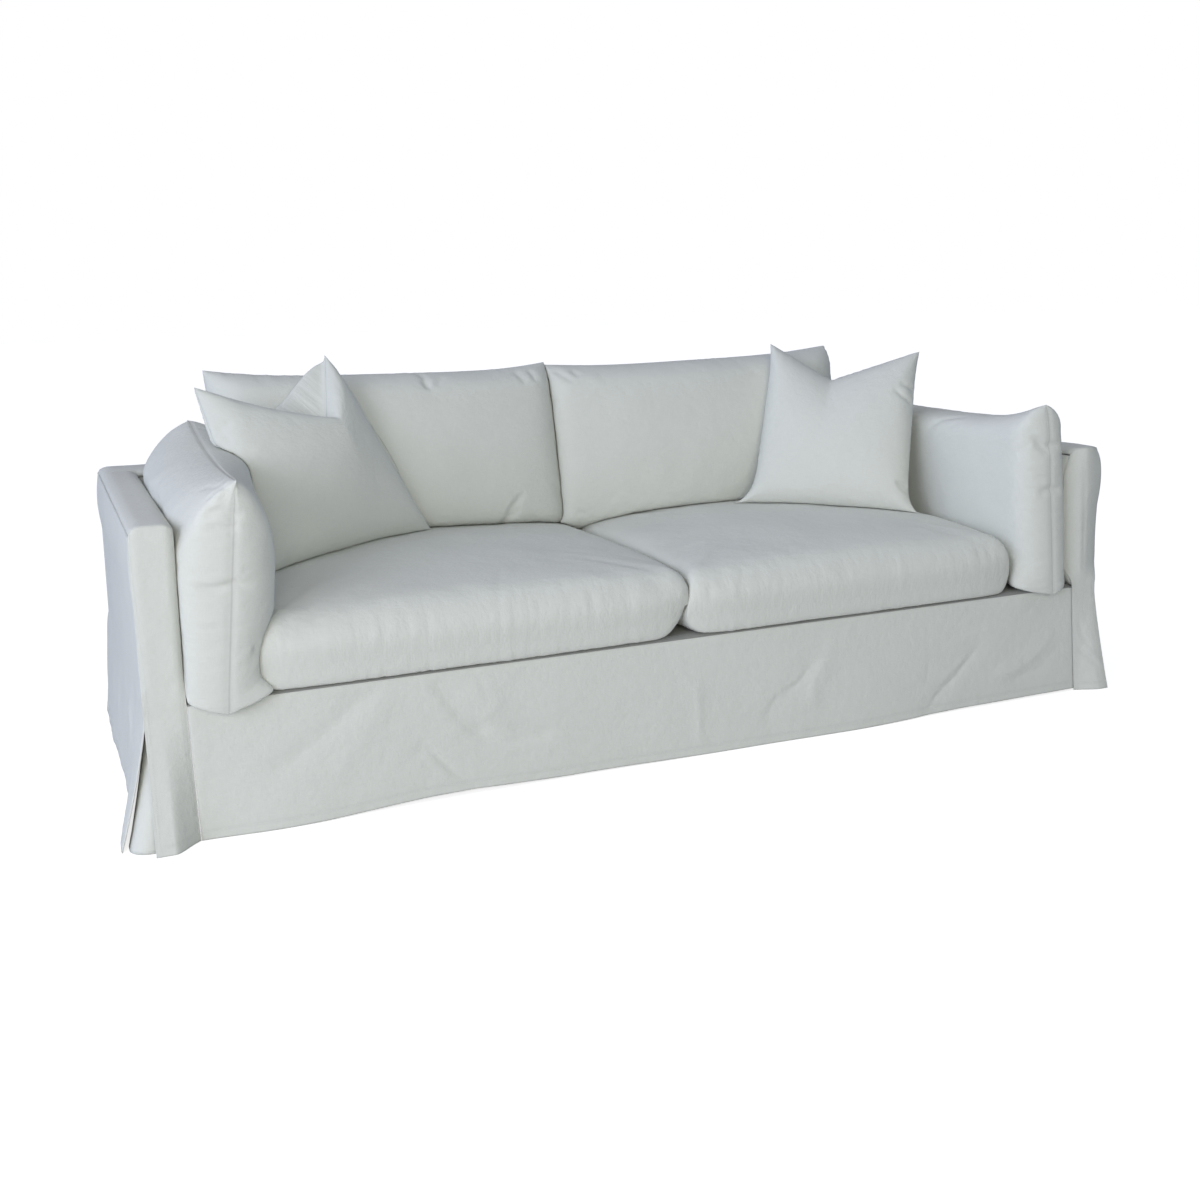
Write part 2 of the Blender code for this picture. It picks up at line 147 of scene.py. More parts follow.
def bumpNode(tree, height, amount, under=None):
    inputs = {"Height": height, "Strength": amount[0], "Distance": amount[1], "Normal": under}
    return addNode(tree, "ShaderNodeBump", inputs).outputs["Normal"]


def newMaterial(name):
    material = bpy.data.materials.new(name)
    material.use_nodes = True
    return material, material.node_tree, material.node_tree.nodes["Principled BSDF"]


def setWorld(setup):
    world = bpy.data.worlds.new("studio")
    bpy.context.scene.world = world
    world.use_nodes = True
    tree = world.node_tree
    tree.nodes.clear()
    place = tree.nodes.new("ShaderNodeTexCoord")
    axes = addNode(tree, "ShaderNodeSeparateXYZ", {0: place.outputs["Generated"]})
    total = (0.0, 0.0, 0.0)
    for (axis, sign), colour in setup["sky"].items():
        facing = mathNode(tree, "MAXIMUM", mathNode(tree, "MULTIPLY", axes.outputs[axis], sign), 0.0)
        inputs = {0: colour, "Scale": mathNode(tree, "MULTIPLY", facing, facing)}
        lit = addNode(tree, "ShaderNodeVectorMath", inputs, operation="SCALE")
        total = addNode(tree, "ShaderNodeVectorMath", {0: total, 1: lit.outputs[0]}).outputs[0]
    shine = addNode(tree, "ShaderNodeBackground", {"Color": total})
    white = addNode(tree, "ShaderNodeBackground", {"Color": (1.0, 1.0, 1.0, 1.0)})
    looked = tree.nodes.new("ShaderNodeLightPath").outputs["Is Camera Ray"]
    either = addNode(tree, "ShaderNodeMixShader", {0: looked, 1: shine.outputs[0], 2: white.outputs[0]})
    addNode(tree, "ShaderNodeOutputWorld", {0: either.outputs[0]})


def setFloorAndBoxes(setup):
    half = setup["floorSize"] / 2
    mesh = bpy.data.meshes.new("floor")
    corners = [(-half, -half, 0.0), (half, -half, 0.0), (half, half, 0.0), (-half, half, 0.0)]
    mesh.from_pydata(corners, [], [(0, 1, 2, 3)])
    floor = putThing("floor", mesh)
    material, tree, shader = newMaterial("floor")
    looked = tree.nodes.new("ShaderNodeLightPath").outputs["Is Camera Ray"]
    setInputs(tree, shader, {
        "Base Color": setup["floorColour"],
        "Roughness": 1.0,
        "Emission Color": (1.0, 1.0, 1.0, 1.0),
        "Emission Strength": mathNode(tree, "MULTIPLY", looked, setup["floorShown"]),
    })
    mesh.materials.append(material)
    for number, (place, size, power, colour) in enumerate(setup["boxes"]):
        lamp = bpy.data.lights.new(f"box{number}", "AREA")
        lamp.shape = "RECTANGLE"
        lamp.size, lamp.size_y = size
        lamp.energy = power
        lamp.color = colour
        box = putThing(lamp.name, lamp)
        box.location = place
        box.rotation_euler = (Vector((0.0, 0.0, 0.4)) - box.location).to_track_quat("-Z", "Y").to_euler()


placeCamera(cameraSetup)
setWorld(studio)
setFloorAndBoxes(studio)
bpy.context.scene.view_settings.view_transform = "Standard"
print("stage: camera, floor and light are set")

# Cloth

linenLook = {
    "colour": (0.700, 0.715, 0.680),
    "dark": (0.66, 0.675, 0.64),
    "clouds": (0.955, 0.96, 0.955),
    # the colour of the painted shade in and beside seams and stitch rows
    "seamTint": (0.44, 0.45, 0.43),
    # how the painted shade at seams and stitch rows fades with the distance from a seam: from, to, and its
    # strength at each
    "seamLine": (0.0004, 0.0024, 0.55, 0.0),
    "seamSoil": (0.0, 0.010, 0.16, 0.0),
    "slubRange": (0.30, 0.62),
    "threadPitch": 0.0010,
    "slubLength": 0.018,
    "roughness": (0.82, 0.96),
    "bump": (0.30, 0.0005),  # strength and depth
    "crumple": (0.8, 0.0026),
    "sheen": 0.12,
    "sheenRoughness": 0.6,
    "specular": 0.25,
}
threadLook = {
    "dark": (0.64, 0.655, 0.62, 1.0),
    "light": (0.76, 0.775, 0.745, 1.0),
    "twist": 900.0,
    "roughness": 0.6,
    "sheen": 0.15,
}


def addSocket(tree, name, kind, way, value=None):
    socket = tree.interface.new_socket(name=name, in_out=way, socket_type=kind)
    if value is not None:
        socket.default_value = value
    return socket


def buildWeaveGroup():
    tree = bpy.data.node_groups.new("plainWeave", "ShaderNodeTree")
    addSocket(tree, "Place", "NodeSocketVector", "INPUT")
    addSocket(tree, "Thread Pitch", "NodeSocketFloat", "INPUT", 0.0011)
    addSocket(tree, "Slub Length", "NodeSocketFloat", "INPUT", 0.03)
    for name in ("Height", "Slubs", "Clouds", "Crumple"):
        addSocket(tree, name, "NodeSocketFloat", "OUTPUT")
    given = tree.nodes.new("NodeGroupInput").outputs
    axes = addNode(tree, "ShaderNodeSeparateXYZ", {0: given["Place"]})
    turns = mathNode(tree, "DIVIDE", math.pi, given["Thread Pitch"])
    warp = mathNode(tree, "SINE", mathNode(tree, "MULTIPLY", axes.outputs["X"], turns))
    weft = mathNode(tree, "SINE", mathNode(tree, "MULTIPLY", axes.outputs["Y"], turns))
    overUnder = mathNode(tree, "MULTIPLY", warp, weft)
    slubs = []
    for stretch in ((1.0, 0.06, 1.0), (0.06, 1.0, 1.0)):
        mapping = addNode(tree, "ShaderNodeMapping", {"Vector": given["Place"], "Scale": stretch})
        grain = mathNode(tree, "DIVIDE", 14.0, given["Slub Length"])
        slubs.append(noiseNode(tree, mapping.outputs["Vector"], grain))
    both = mathNode(tree, "MULTIPLY", mathNode(tree, "ADD", slubs[0], slubs[1]), 0.5)
    addNode(tree, "NodeGroupOutput", {
        "Height": mathNode(tree, "ADD", mathNode(tree, "MULTIPLY", overUnder, 0.35), both),
        "Slubs": both,
        "Clouds": noiseNode(tree, given["Place"], 6.0, 3.0),
        "Crumple": noiseNode(tree, given["Place"], 38.0, 3.0, 0.6),
    })
    return tree


weaveGroup = buildWeaveGroup()


def makeLinen(name, look, tone=1.0):
    material, tree, shader = newMaterial(name)
    weave = addNode(tree, "ShaderNodeGroup", {}, node_tree=weaveGroup)
    setInputs(tree, weave, {
        "Place": addNode(tree, "ShaderNodeUVMap", {}, uv_map="cloth").outputs["UV"],
        "Thread Pitch": look["threadPitch"],
        "Slub Length": look["slubLength"],
    })
    slubs = weave.outputs["Slubs"]
    light, dark, shadeColour = ((*(tone * Vector(look[key])), 1.0) for key in ("colour", "dark", "seamTint"))
    threads = mixColours(tree, rangeNode(tree, slubs, *look["slubRange"], way="LINEAR"), dark, light)
    clouded = mixColours(tree, weave.outputs["Clouds"], threads, (*look["clouds"], 1.0), "MULTIPLY")
    # painted shade: a narrow dark line in the seam's groove and a wide soft shade beside it, darker towards
    # the seam
    away = addNode(tree, "ShaderNodeAttribute", {}, attribute_name="seamAway").outputs["Fac"]
    line, sideShaded = (rangeNode(tree, away, *look[key]) for key in ("seamLine", "seamSoil"))
    crumple = bumpNode(tree, weave.outputs["Crumple"], look["crumple"])
    setInputs(tree, shader, {
        "Base Color": mixColours(tree, mathNode(tree, "MAXIMUM", line, sideShaded), clouded, shadeColour),
        "Roughness": rangeNode(tree, slubs, 0.0, 1.0, *look["roughness"], way="LINEAR"),
        "Sheen Weight": look["sheen"],
        "Sheen Roughness": look["sheenRoughness"],
        "Specular IOR Level": look["specular"],
        "Normal": bumpNode(tree, weave.outputs["Height"], look["bump"], crumple),
    })
    return material


def makeThread(look):
    material, tree, shader = newMaterial("thread")
    place = tree.nodes.new("ShaderNodeTexCoord").outputs["Object"]
    setInputs(tree, shader, {
        "Base Color": mixColours(tree, noiseNode(tree, place, look["twist"]), look["dark"], look["light"]),
        "Roughness": look["roughness"],
        "Sheen Weight": look["sheen"],
    })
    return material


linen = makeLinen("linen", linenLook)
deckShadeCloth = makeLinen("platform_cloth", linenLook, 0.42)  # the same linen darkened: painted shade for the gap under the seat cushions
thread = makeThread(threadLook)
print("stage: the linen is mixed")

# What every piece of cloth shares


def linkMesh(node, points, faces):
    name = node + "_cloth"
    mesh = bpy.data.meshes.new(name)
    mesh.from_pydata([tuple(point) for point in points], [], [tuple(face) for face in faces])
    thing = putThing(name, mesh)
    mesh.shade_smooth()
    mesh.materials.append(linen)
    return thing


def setPointNumbers(thing, name, values):
    attribute = thing.data.attributes.get(name) or thing.data.attributes.new(name, "FLOAT", "POINT")
    attribute.data.foreach_set("value", np.asarray(values, np.float32))


def readPointNumbers(thing, name):
    values = np.empty(len(thing.data.vertices), np.float32)
    thing.data.attributes[name].data.foreach_get("value", values)
    return values


def setUvs(thing, values):
    uvs = thing.data.uv_layers.new(name="cloth")
    uvs.data.foreach_set("uv", np.asarray(values, np.float32).ravel())


def readPoints(thing, kind="co"):
    values = np.empty(len(thing.data.vertices) * 3, np.float32)
    thing.data.vertices.foreach_get(kind, values)
    return values.reshape(-1, 3).astype(float)


def writePoints(thing, points):
    thing.data.vertices.foreach_set("co", np.asarray(points, np.float32).ravel())
    thing.data.update()


def applyModifiers(thing):
    graph = bpy.context.evaluated_depsgraph_get()
    solid = bpy.data.meshes.new_from_object(thing.evaluated_get(graph), depsgraph=graph)
    thing.modifiers.clear()
    old = thing.data
    thing.data = solid
    bpy.data.meshes.remove(old)
    solid.name = thing.name


def lumps(points, size, height, seed):
    shift = Vector((seed * 7.3, seed * 3.1, seed * 5.7))
    return np.array([noise.noise(Vector(point) / size + shift) for point in points]) * height


def pathDistance(points, path):
    best = np.full(len(points), 1e9)
    along = np.zeros(len(points))
    total = sum((Vector(b) - Vector(a)).length for a, b in zip(path, path[1:]))
    done = 0.0
    for a, b in zip(path, path[1:]):
        a, b = np.array(a, float), np.array(b, float)
        run = b - a
        length = np.linalg.norm(run)
        t = np.clip(((points - a) @ run) / length**2, 0, 1)
        away = np.linalg.norm(points - a - t[:, None] * run, axis=1)
        closer = away < best
        best[closer] = away[closer]
        along[closer] = (done + t[closer] * length) / total
        done += length
    return best, along


def creaseShape(points, creases):
    out = np.zeros(len(points))
    for path, halfWidth, height in creases:
        place = points if len(path[0]) == 3 else points[:, (0, 2)]  # a path of (x, z) runs over a front
        away, along = pathDistance(place, path)
        fade = np.clip(np.minimum(along, 1 - along) * 4, 0, 1) ** 0.7
        out += height * np.exp(-((away / halfWidth) ** 2)) * fade
    return out


def laidOn(tree, creases):  # the same creases with their paths laid on the cloth
    laid = []
    for path, halfWidth, height in creases:
        steps = [Vector(a).lerp(Vector(b), part / 4) for a, b in zip(path, path[1:]) for part in range(4)]
        line = []
        for step in steps + [Vector(path[-1])]:
            point = tree.find_nearest(step)[0]
            if not line or (point - line[-1]).length > 0.001:
                line.append(point)
        laid.append((line, halfWidth, height))
    return laid


def groove(away, depth, reach):
    return depth * np.exp(-((away / reach) ** 2))


# Stitches

stitchSizes = {"Pitch": 0.0050, "Stitch Length": 0.0034, "Thickness": 0.0009, "Seed": 4}


def buildStitchTree():
    tree = bpy.data.node_groups.new("stitches", "GeometryNodeTree")
    addSocket(tree, "Path", "NodeSocketGeometry", "INPUT")
    for name in ("Pitch", "Stitch Length", "Thickness"):
        addSocket(tree, name, "NodeSocketFloat", "INPUT")
    addSocket(tree, "Seed", "NodeSocketInt", "INPUT")
    addSocket(tree, "Thread", "NodeSocketMaterial", "INPUT")
    addSocket(tree, "Stitches", "NodeSocketGeometry", "OUTPUT")
    given = tree.nodes.new("NodeGroupInput").outputs
    curve = addNode(tree, "GeometryNodeMeshToCurve", {"Mesh": given["Path"]}).outputs["Curve"]
    steps = addNode(tree, "GeometryNodeResampleCurve", {}, mode="LENGTH")
    setInputs(tree, steps, {"Curve": curve, "Length": given["Pitch"]})
    tangent = tree.nodes.new("GeometryNodeInputTangent").outputs["Tangent"]
    turn = addNode(tree, "FunctionNodeAlignRotationToVector", {"Vector": tangent}, axis="Z")
    uneven = addNode(tree, "FunctionNodeRandomValue", {}, data_type="FLOAT")
    setInputs(tree, uneven, {2: 0.85, 3: 1.1, "Seed": given["Seed"]})
    size = addNode(tree, "ShaderNodeCombineXYZ", {
        "X": given["Thickness"],
        "Y": given["Thickness"],
        "Z": mathNode(tree, "MULTIPLY", given["Stitch Length"], uneven.outputs[1]),
    })
    bead = addNode(tree, "GeometryNodeMeshIcoSphere", {"Radius": 0.5, "Subdivisions": 1})
    sewn = addNode(tree, "GeometryNodeInstanceOnPoints", {
        "Points": steps.outputs["Curve"],
        "Instance": bead.outputs["Mesh"],
        "Rotation": turn.outputs["Rotation"],
        "Scale": size.outputs["Vector"],
    })
    real = addNode(tree, "GeometryNodeRealizeInstances", {"Geometry": sewn.outputs["Instances"]})
    inputs = {"Geometry": real.outputs["Geometry"], "Material": given["Thread"]}
    finish = addNode(tree, "GeometryNodeSetMaterial", inputs)
    addNode(tree, "NodeGroupOutput", {"Stitches": finish.outputs["Geometry"]})
    return tree


stitchTree = buildStitchTree()


def stitchPath(grid, away, side, inset):  # the line on the cloth that runs at one distance from an edge
    if side in "bt":
        grid, away = grid.transpose(1, 0, 2), away.T
    path = []
    for line, distance in zip(grid, away):
        order = np.argsort(distance)
        path.append([np.interp(inset, distance[order], line[order, axis]) for axis in range(3)])
    return path


def sewStitches(name, paths):
    points, edges = [], []
    for path in paths:
        first = len(points)
        points.extend(path)
        edges.extend((first + i, first + i + 1) for i in range(len(path) - 1))
    mesh = bpy.data.meshes.new(name + "_stitches")
    mesh.from_pydata(points, edges, [])
    thing = putThing(mesh.name, mesh)
    sewn = thing.modifiers.new("Stitches", "NODES")
    sewn.node_group = stitchTree
    values = {**stitchSizes, "Thread": thread}
    for socket in stitchTree.interface.items_tree:
        if socket.name in values:
            sewn[socket.identifier] = values[socket.name]
    applyModifiers(thing)
    thing.data.shade_smooth()
    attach(thing, "root")
    return thing


# Sheets

seamGroove = (0.0014, 0.006)  # depth and reach
hemGroove = (0.0002, 0.003)
stitchGroove = (0.0005, 0.0016)
seamShown, stitchShown = 0.0018, 0.0016  # what keeps the painted shade at a panel's seams and stitches light
calmReach = 0.03  # how far from a seam the cloth lies calm
hemWidth = 0.022
hemLift = 0.0004  # how much thicker the turned hem is
hemEdge = 0.0012
waves = ((0.11, 1.0, 0), (0.035, 0.3, 5))  # size, share of the height and shift of the seed
noStitches = {}
hemRow = {"b": (0.0195,)}  # how far the stitches run from an edge: l, r, b or t
edgeRows = (0.0040, 0.0095)
topRow = (0.0045,)


def makeSheet(name, surface, columns, rows, width, sewn="lrbt", hem="", soft=0.0012, seed=1,
              creases=(), restsOn=(), topstitch=noStitches):
    across = [i / columns for i in range(columns + 1)]
    up = [j / rows for j in range(rows + 1)]
    base = np.array([surface(s, t) for t in up for s in across])
    grid = base.reshape(rows + 1, columns + 1, 3)
    ds = np.gradient(grid, axis=1)
    dt = np.gradient(grid, axis=0)
    normal = np.cross(ds, dt)
    normal /= np.maximum(np.linalg.norm(normal, axis=2, keepdims=True), 1e-12)
    fromLeft = np.cumsum(np.linalg.norm(np.diff(grid, axis=1, prepend=grid[:, :1]), axis=2), axis=1)
    fromLow = np.cumsum(np.linalg.norm(np.diff(grid, axis=0, prepend=grid[:1]), axis=2), axis=0)
    sides = {
        "l": fromLeft,
        "r": fromLeft[:, -1:] - fromLeft,
        "b": fromLow,
        "t": fromLow[-1:] - fromLow,
    }
    offset = np.zeros(grid.shape[:2])
    calm = np.ones(grid.shape[:2])
    seamAway = np.full(grid.shape[:2], 0.1)
    for side, away in sides.items():
        if side in sewn:
            offset -= groove(away, *seamGroove)
            calm *= np.clip(away / calmReach, 0, 1)
            # seamAway carries the painted shade of seams and stitch rows into the cloth's colour
            seamAway = np.minimum(seamAway, away + seamShown)
        if side in hem:
            offset += hemLift / (1 + np.exp((away - hemWidth) / hemEdge))
            offset -= groove(away - hemWidth, *hemGroove)
        for inset in topstitch.get(side, ()):
            offset -= groove(away - inset, *stitchGroove)
            seamAway = np.minimum(seamAway, np.abs(away - inset) + stitchShown)
    flatGrid = grid.reshape(-1, 3)
    for size, share, shift in waves:
        offset += lumps(flatGrid, size, soft * share, seed + shift).reshape(offset.shape) * calm
    if creases:
        offset += creaseShape(flatGrid, creases).reshape(offset.shape) * calm
    placed = (grid + normal * offset[..., None]).reshape(-1, 3)
    step = columns + 1
    faces = [
        (j * step + i, j * step + i + 1, (j + 1) * step + i + 1, (j + 1) * step + i)
        for j in range(rows)
        for i in range(columns)
    ]
    thing = linkMesh(name, placed, faces)
    setUvs(thing, np.stack([fromLeft.ravel(), fromLow.ravel()], axis=1)[np.array(faces).ravel()])
    setPointNumbers(thing, "seamAway", seamAway.ravel())
    outer = placed.reshape(grid.shape) + normal * 0.0003
    paths = [stitchPath(outer, sides[side], side, inset)
             for side, insets in topstitch.items() for inset in insets]
    stitches = [sewStitches(name, paths)] if paths else []
    solid = thing.modifiers.new("Cloth thickness", "SOLIDIFY")
    solid.thickness = clothThickness
    solid.offset = -1
    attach(thing, "root")
    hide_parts(name)
    return thing


cover = {
    "width": 2.440,
    "depth": 1.103,
    "armWidth": 0.088,
    "backWidth": 0.150,
    "topEdge": 0.645,
    "topCrown": 0.018,
    "topRound": 0.030,
    "deck": 0.294,
    "deckFall": 0.004,
    "slit": 0.268,
    "slitShare": 0.45,  # the share of a tall panel's rows that lie below the top of the slits
    "flarePower": 1.2,
    "hem": 0.001,
}
sideX = cover["width"] / 2
frontY, backY = -cover["depth"] / 2, cover["depth"] / 2
innerX = sideX - cover["armWidth"]
innerY = backY - cover["backWidth"]
topEdge, deckZ, slitZ, hemZ = cover["topEdge"], cover["deck"], cover["slit"], cover["hem"]
deckFall = cover["deckFall"]


def topHeight(x, y):
    outer = min(sideX - abs(x), backY - y)
    if abs(x) < innerX:
        inner = y - innerY
    elif y < innerY:
        inner = abs(x) - innerX
    else:
        inner = math.hypot(abs(x) - innerX, y - innerY)
    reach = min(max(min(outer, inner), 0.0) / cover["topRound"], 1.0)
    return topEdge + cover["topCrown"] * math.sqrt(1 - (1 - reach) ** 2)


def drop(z):  # 0 at the top of the pleats and 1 at the hem
    return max(0.0, (slitZ - z) / slitZ) ** cover["flarePower"]


def levelAt(t, top):
    share = cover["slitShare"]
    if t <= share:
        return mix(hemZ, slitZ, t / share)
    return mix(slitZ, top, (t - share) / (1 - share))


armShape = {
    "waist": (0.010, 0.20, 0.70),  # depth, fall and reach of the drawn-in outer side
    "swelling": (0.007, 0.50),  # amount and the height it starts from
    "leftFront": (0.006, 0.5, 0.002),  # depth, fall and amount at the left arm's nearly straight front edge
    # how the fuller front of an arm rises and ends: height, over what height, and reach towards the back
    "outerSwell": ((slitZ + 0.02, 0.07), (topEdge + 0.075, 0.11), 0.5),
    "innerSwell": ((deckZ, 0.06), (topEdge + 0.01, 0.07), 0.3),
    "turnRise": 0.06,
    "flareReach": 0.45,
    "spring": 0.4,
    "ripple": (0.002, 9.0),
    "sway": (0.25, 5.0),
    "seamSlant": 0.010,
    "left": {"cut": 0.10, "frontOuter": 0.060, "frontInner": 0.006, "sideFront": 0.062, "bend": 0.42,
             "splay": 0.0, "swell": 0.0, "innerSwell": 0.0, "creases": (),
             "turned": {"inner": (0.25, 0.012), "outer": (0.25, 0.005), "power": 2.2}},
    "right": {"cut": 0.12, "frontOuter": 0.030, "frontInner": 0.004, "sideFront": 0.044, "bend": 0.30,
              "splay": 0.028, "swell": 0.026, "innerSwell": 0.020,
              "turned": {"inner": (0.40, 0.020), "outer": (0.60, 0.032), "power": 1.6},
              "creases": (([(1.145, 0.125), (1.170, 0.099), (1.198, 0.077), (1.227, 0.057)], 0.008, -0.0030),
                          ([(1.153, 0.198), (1.166, 0.148), (1.187, 0.114)], 0.009, -0.0018),
                          ([(1.165, 0.120), (1.200, 0.092), (1.226, 0.074)], 0.010, 0.0020),
                          ([(1.166, 0.635), (1.168, 0.52), (1.170, 0.40), (1.166, 0.31)], 0.006, -0.0022))},
    "sideMiddle": 0.022,
    "sideRear": 0.018,
    "rear": 0.040,
}


def fuller(kind, y, z):
    (low, rise), (high, end), reach = armShape[kind]
    share = smoothstep((z - low) / rise) * smoothstep(1 - (y - frontY) / reach)
    return share * smoothstep((high - z) / end)


def sideAt(z, y=frontY, side=1):
    depth, fall, reach = armShape["waist"]
    amount, foot = armShape["swelling"]
    if side < 0:
        share = smoothstep((y - frontY) / reach)
        pairs = zip(armShape["leftFront"], (depth, fall, amount))
        depth, fall, amount = (mix(front, rest, share) for front, rest in pairs)
    above = min(max((z - foot) / (topEdge - foot), 0.0), 1.0)
    below = smoothstep((topEdge - cover["armWidth"] / 2 - z) / fall)
    waist = depth * below * smoothstep(1 - (y - frontY) / reach)
    swell = armShape[sideName(side)]["swell"] * fuller("outerSwell", y, z)
    return sideX + swell + amount * math.sin(math.pi * above) - waist


def seamAt(side, z):
    return side * innerX + armShape["seamSlant"] * max(0.0, 1 - z / (deckZ - 2 * deckFall))


def crowded(t):
    return (1 - math.cos(math.pi * t)) / 2


def sideName(side):
    return "left" if side < 0 else "right"


def frontTurn(side, inwards, z):  # how far the front rounds back to its inner and its outer edge
    turned = armShape[sideName(side)]["turned"]
    back = 0.0
    for away, (share, depth) in ((inwards, turned["inner"]), (1 - inwards, turned["outer"])):
        back += depth * max(0.0, (away - 1 + share) / share) ** turned["power"]
    return back * smoothstep((z - deckZ) / armShape["turnRise"])


def innerSwell(side, y, z):  # how far the arm's inner side stands out near the front
    return armShape[sideName(side)]["innerSwell"] * fuller("innerSwell", y, z)


def armFront(side):
    shape = armShape[sideName(side)]

    def surface(s, t):
        s = mix(s, crowded(s), 0.6)
        inwards = 1 - s if side > 0 else s
        reach = min(min(s, 1 - s) * cover["armWidth"] / cover["topRound"], 1.0)
        z = levelAt(t, topEdge + cover["topCrown"] * math.sqrt(1 - (1 - reach) ** 2))
        splay = shape["splay"] * drop(z)  # the flap's outer edge spreads past the arm
        inner = seamAt(side, z) + side * (gap - innerSwell(side, frontY, z))
        x = mix(side * (sideAt(z, frontY, side) + splay), inner, inwards)
        bend = shape["bend"]
        width = 1 - max(0.0, inwards - bend) / (1 - bend)
        width = mix(width, smoothstep(width), 0.5)
        out = drop(z) * mix(shape["frontInner"], shape["frontOuter"], width)
        return Vector((x, frontY - out + frontTurn(side, inwards, z), z))

    name = "arm_front_" + sideName(side)
    return makeSheet(name, surface, 34, 150, shape["cut"], sewn="lrt", hem="b", soft=0.0010,
                     seed=3 + side, creases=shape["creases"], restsOn=["arm_top_" + sideName(side)],
                     topstitch={**hemRow, "l": edgeRows, "r": edgeRows})


def armTop(side):
    def surface(s, t):
        x = side * sideX + cover["armWidth"] * (crowded(s) - (side > 0))
        inwards = 1 - crowded(s) if side > 0 else crowded(s)
        front = frontY + frontTurn(side, inwards, topEdge)
        y = mix(front + clothThickness + gap, innerY - gap, t)
        swell = (sideAt(topEdge, y, side) - sideX) * (1 - inwards)
        return Vector((x + side * swell, y, topHeight(x, y)))

    return makeSheet("arm_top_" + sideName(side), surface, 24, 90, 0.115, seed=6 + side, soft=0.0015,
                     topstitch={"l": topRow, "r": topRow})


def backTop():
    overArm = [mix(-sideX, -innerX, crowded(i / 12)) for i in range(13)]
    overBack = [mix(-innerX, innerX, i / 180) for i in range(1, 180)]
    columns = overArm + overBack + [-x for x in reversed(overArm)]

    def surface(s, t):
        x = columns[round(s * (len(columns) - 1))]
        y = mix(innerY, backY, crowded(t))
        return Vector((x, y, topHeight(x, y)))

    return makeSheet("back_top", surface, len(columns) - 1, 24, 2.46, seed=9, soft=0.0018,
                     topstitch={"b": topRow, "t": topRow})


def sideFlare(side, y, z):
    shape = armShape[sideName(side)]
    along = (y - frontY) / cover["depth"]
    reach = armShape["flareReach"]
    front = shape["sideFront"] * smoothstep(1 - along / reach) * drop(z)
    rear = armShape["sideRear"] * smoothstep(1 - (1 - along) / reach) * drop(z) ** armShape["spring"]
    amount, turns = armShape["ripple"]
    ripple = amount * math.sin(turns * along)
    return max(front, rear, armShape["sideMiddle"] * drop(z)) + ripple * drop(z)


# soft folds that run up from the hem: the path, half width and height
sideFolds = [
    ([(-0.30, 0.02), (-0.25, 0.12), (-0.17, 0.24)], 0.022, 0.0036),
    ([(-0.10, 0.06), (-0.06, 0.15), (0.00, 0.22)], 0.014, -0.0022),
    ([(0.08, 0.01), (0.10, 0.14), (0.15, 0.26)], 0.020, -0.0032),
    ([(0.36, 0.02), (0.32, 0.13), (0.25, 0.22)], 0.022, 0.0032),
]
rearFolds = [
    ([(-0.96, 0.02), (-0.90, 0.12), (-0.79, 0.22), (-0.70, 0.28)], 0.024, 0.0042),
    ([(-0.36, 0.01), (-0.34, 0.14), (-0.27, 0.27)], 0.021, -0.0036),
    ([(0.14, 0.01), (0.20, 0.11), (0.31, 0.20), (0.39, 0.31)], 0.023, 0.0042),
    ([(0.63, 0.01), (0.60, 0.13), (0.53, 0.24)], 0.018, -0.0032),
    ([(0.99, 0.03), (0.94, 0.15), (0.86, 0.26)], 0.021, 0.0036),
    ([(-0.72, 0.60), (-0.62, 0.56), (-0.48, 0.53)], 0.016, -0.0022),
    ([(0.78, 0.61), (0.62, 0.57), (0.45, 0.55)], 0.017, -0.0022),
]


def outsideArm(side):
    folds = [([(side * sideX, y, z) for y, z in path], spread, height) for path, spread, height in sideFolds]

    def surface(s, t):
        along = s if side > 0 else 1 - s
        z = levelAt(t, topEdge - clothThickness - gap)
        front = frontY + frontTurn(side, 0.0, z)
        y = mix(front + clothThickness + gap, backY - clothThickness - gap, along)
        return Vector((side * (sideAt(z, y, side) + sideFlare(side, y, z)), y, z))

    return makeSheet("outside_arm_" + sideName(side), surface, 110, 70, 1.14, sewn="lrt", hem="b",
                     seed=12 + side, soft=0.0030, creases=folds, topstitch=hemRow,
                     restsOn=["arm_top_" + sideName(side)])


def outsideBack():
    amount, turns = armShape["sway"]

    def surface(s, t):
        z = levelAt(t, topEdge - clothThickness - gap)
        x = mix(sideAt(z, backY), -sideAt(z, backY, -1), s)
        sway = 1 - amount + amount * math.cos(turns * x)
        return Vector((x, backY + drop(z) * armShape["rear"] * sway, z))

    return makeSheet("outside_back", surface, 150, 50, 2.48, sewn="lrt", hem="b", seed=15, soft=0.0035,
                     creases=rearFolds, topstitch=hemRow, restsOn=["back_top"])


def insideArm(side):
    def surface(s, t):
        along = 1 - s if side > 0 else s
        z = mix(deckZ - clothThickness, topEdge - clothThickness - gap, t)
        front = frontY + frontTurn(side, 1.0, z)
        y = mix(front + clothThickness + gap, innerY - gap, along)
        return Vector((side * (innerX - innerSwell(side, y, z)), y, z))

    return makeSheet("inside_arm_" + sideName(side), surface, 44, 24, 0.965, seed=18 + side,
                     restsOn=["arm_top_" + sideName(side)])


def insideBack():
    def surface(s, t):
        x = mix(-innerX, innerX, s)
        return Vector((x, innerY, mix(deckZ - clothThickness, topEdge - clothThickness - gap, t)))

    return makeSheet("inside_back", surface, 80, 14, 2.28, seed=21,
                     restsOn=["back_top"])


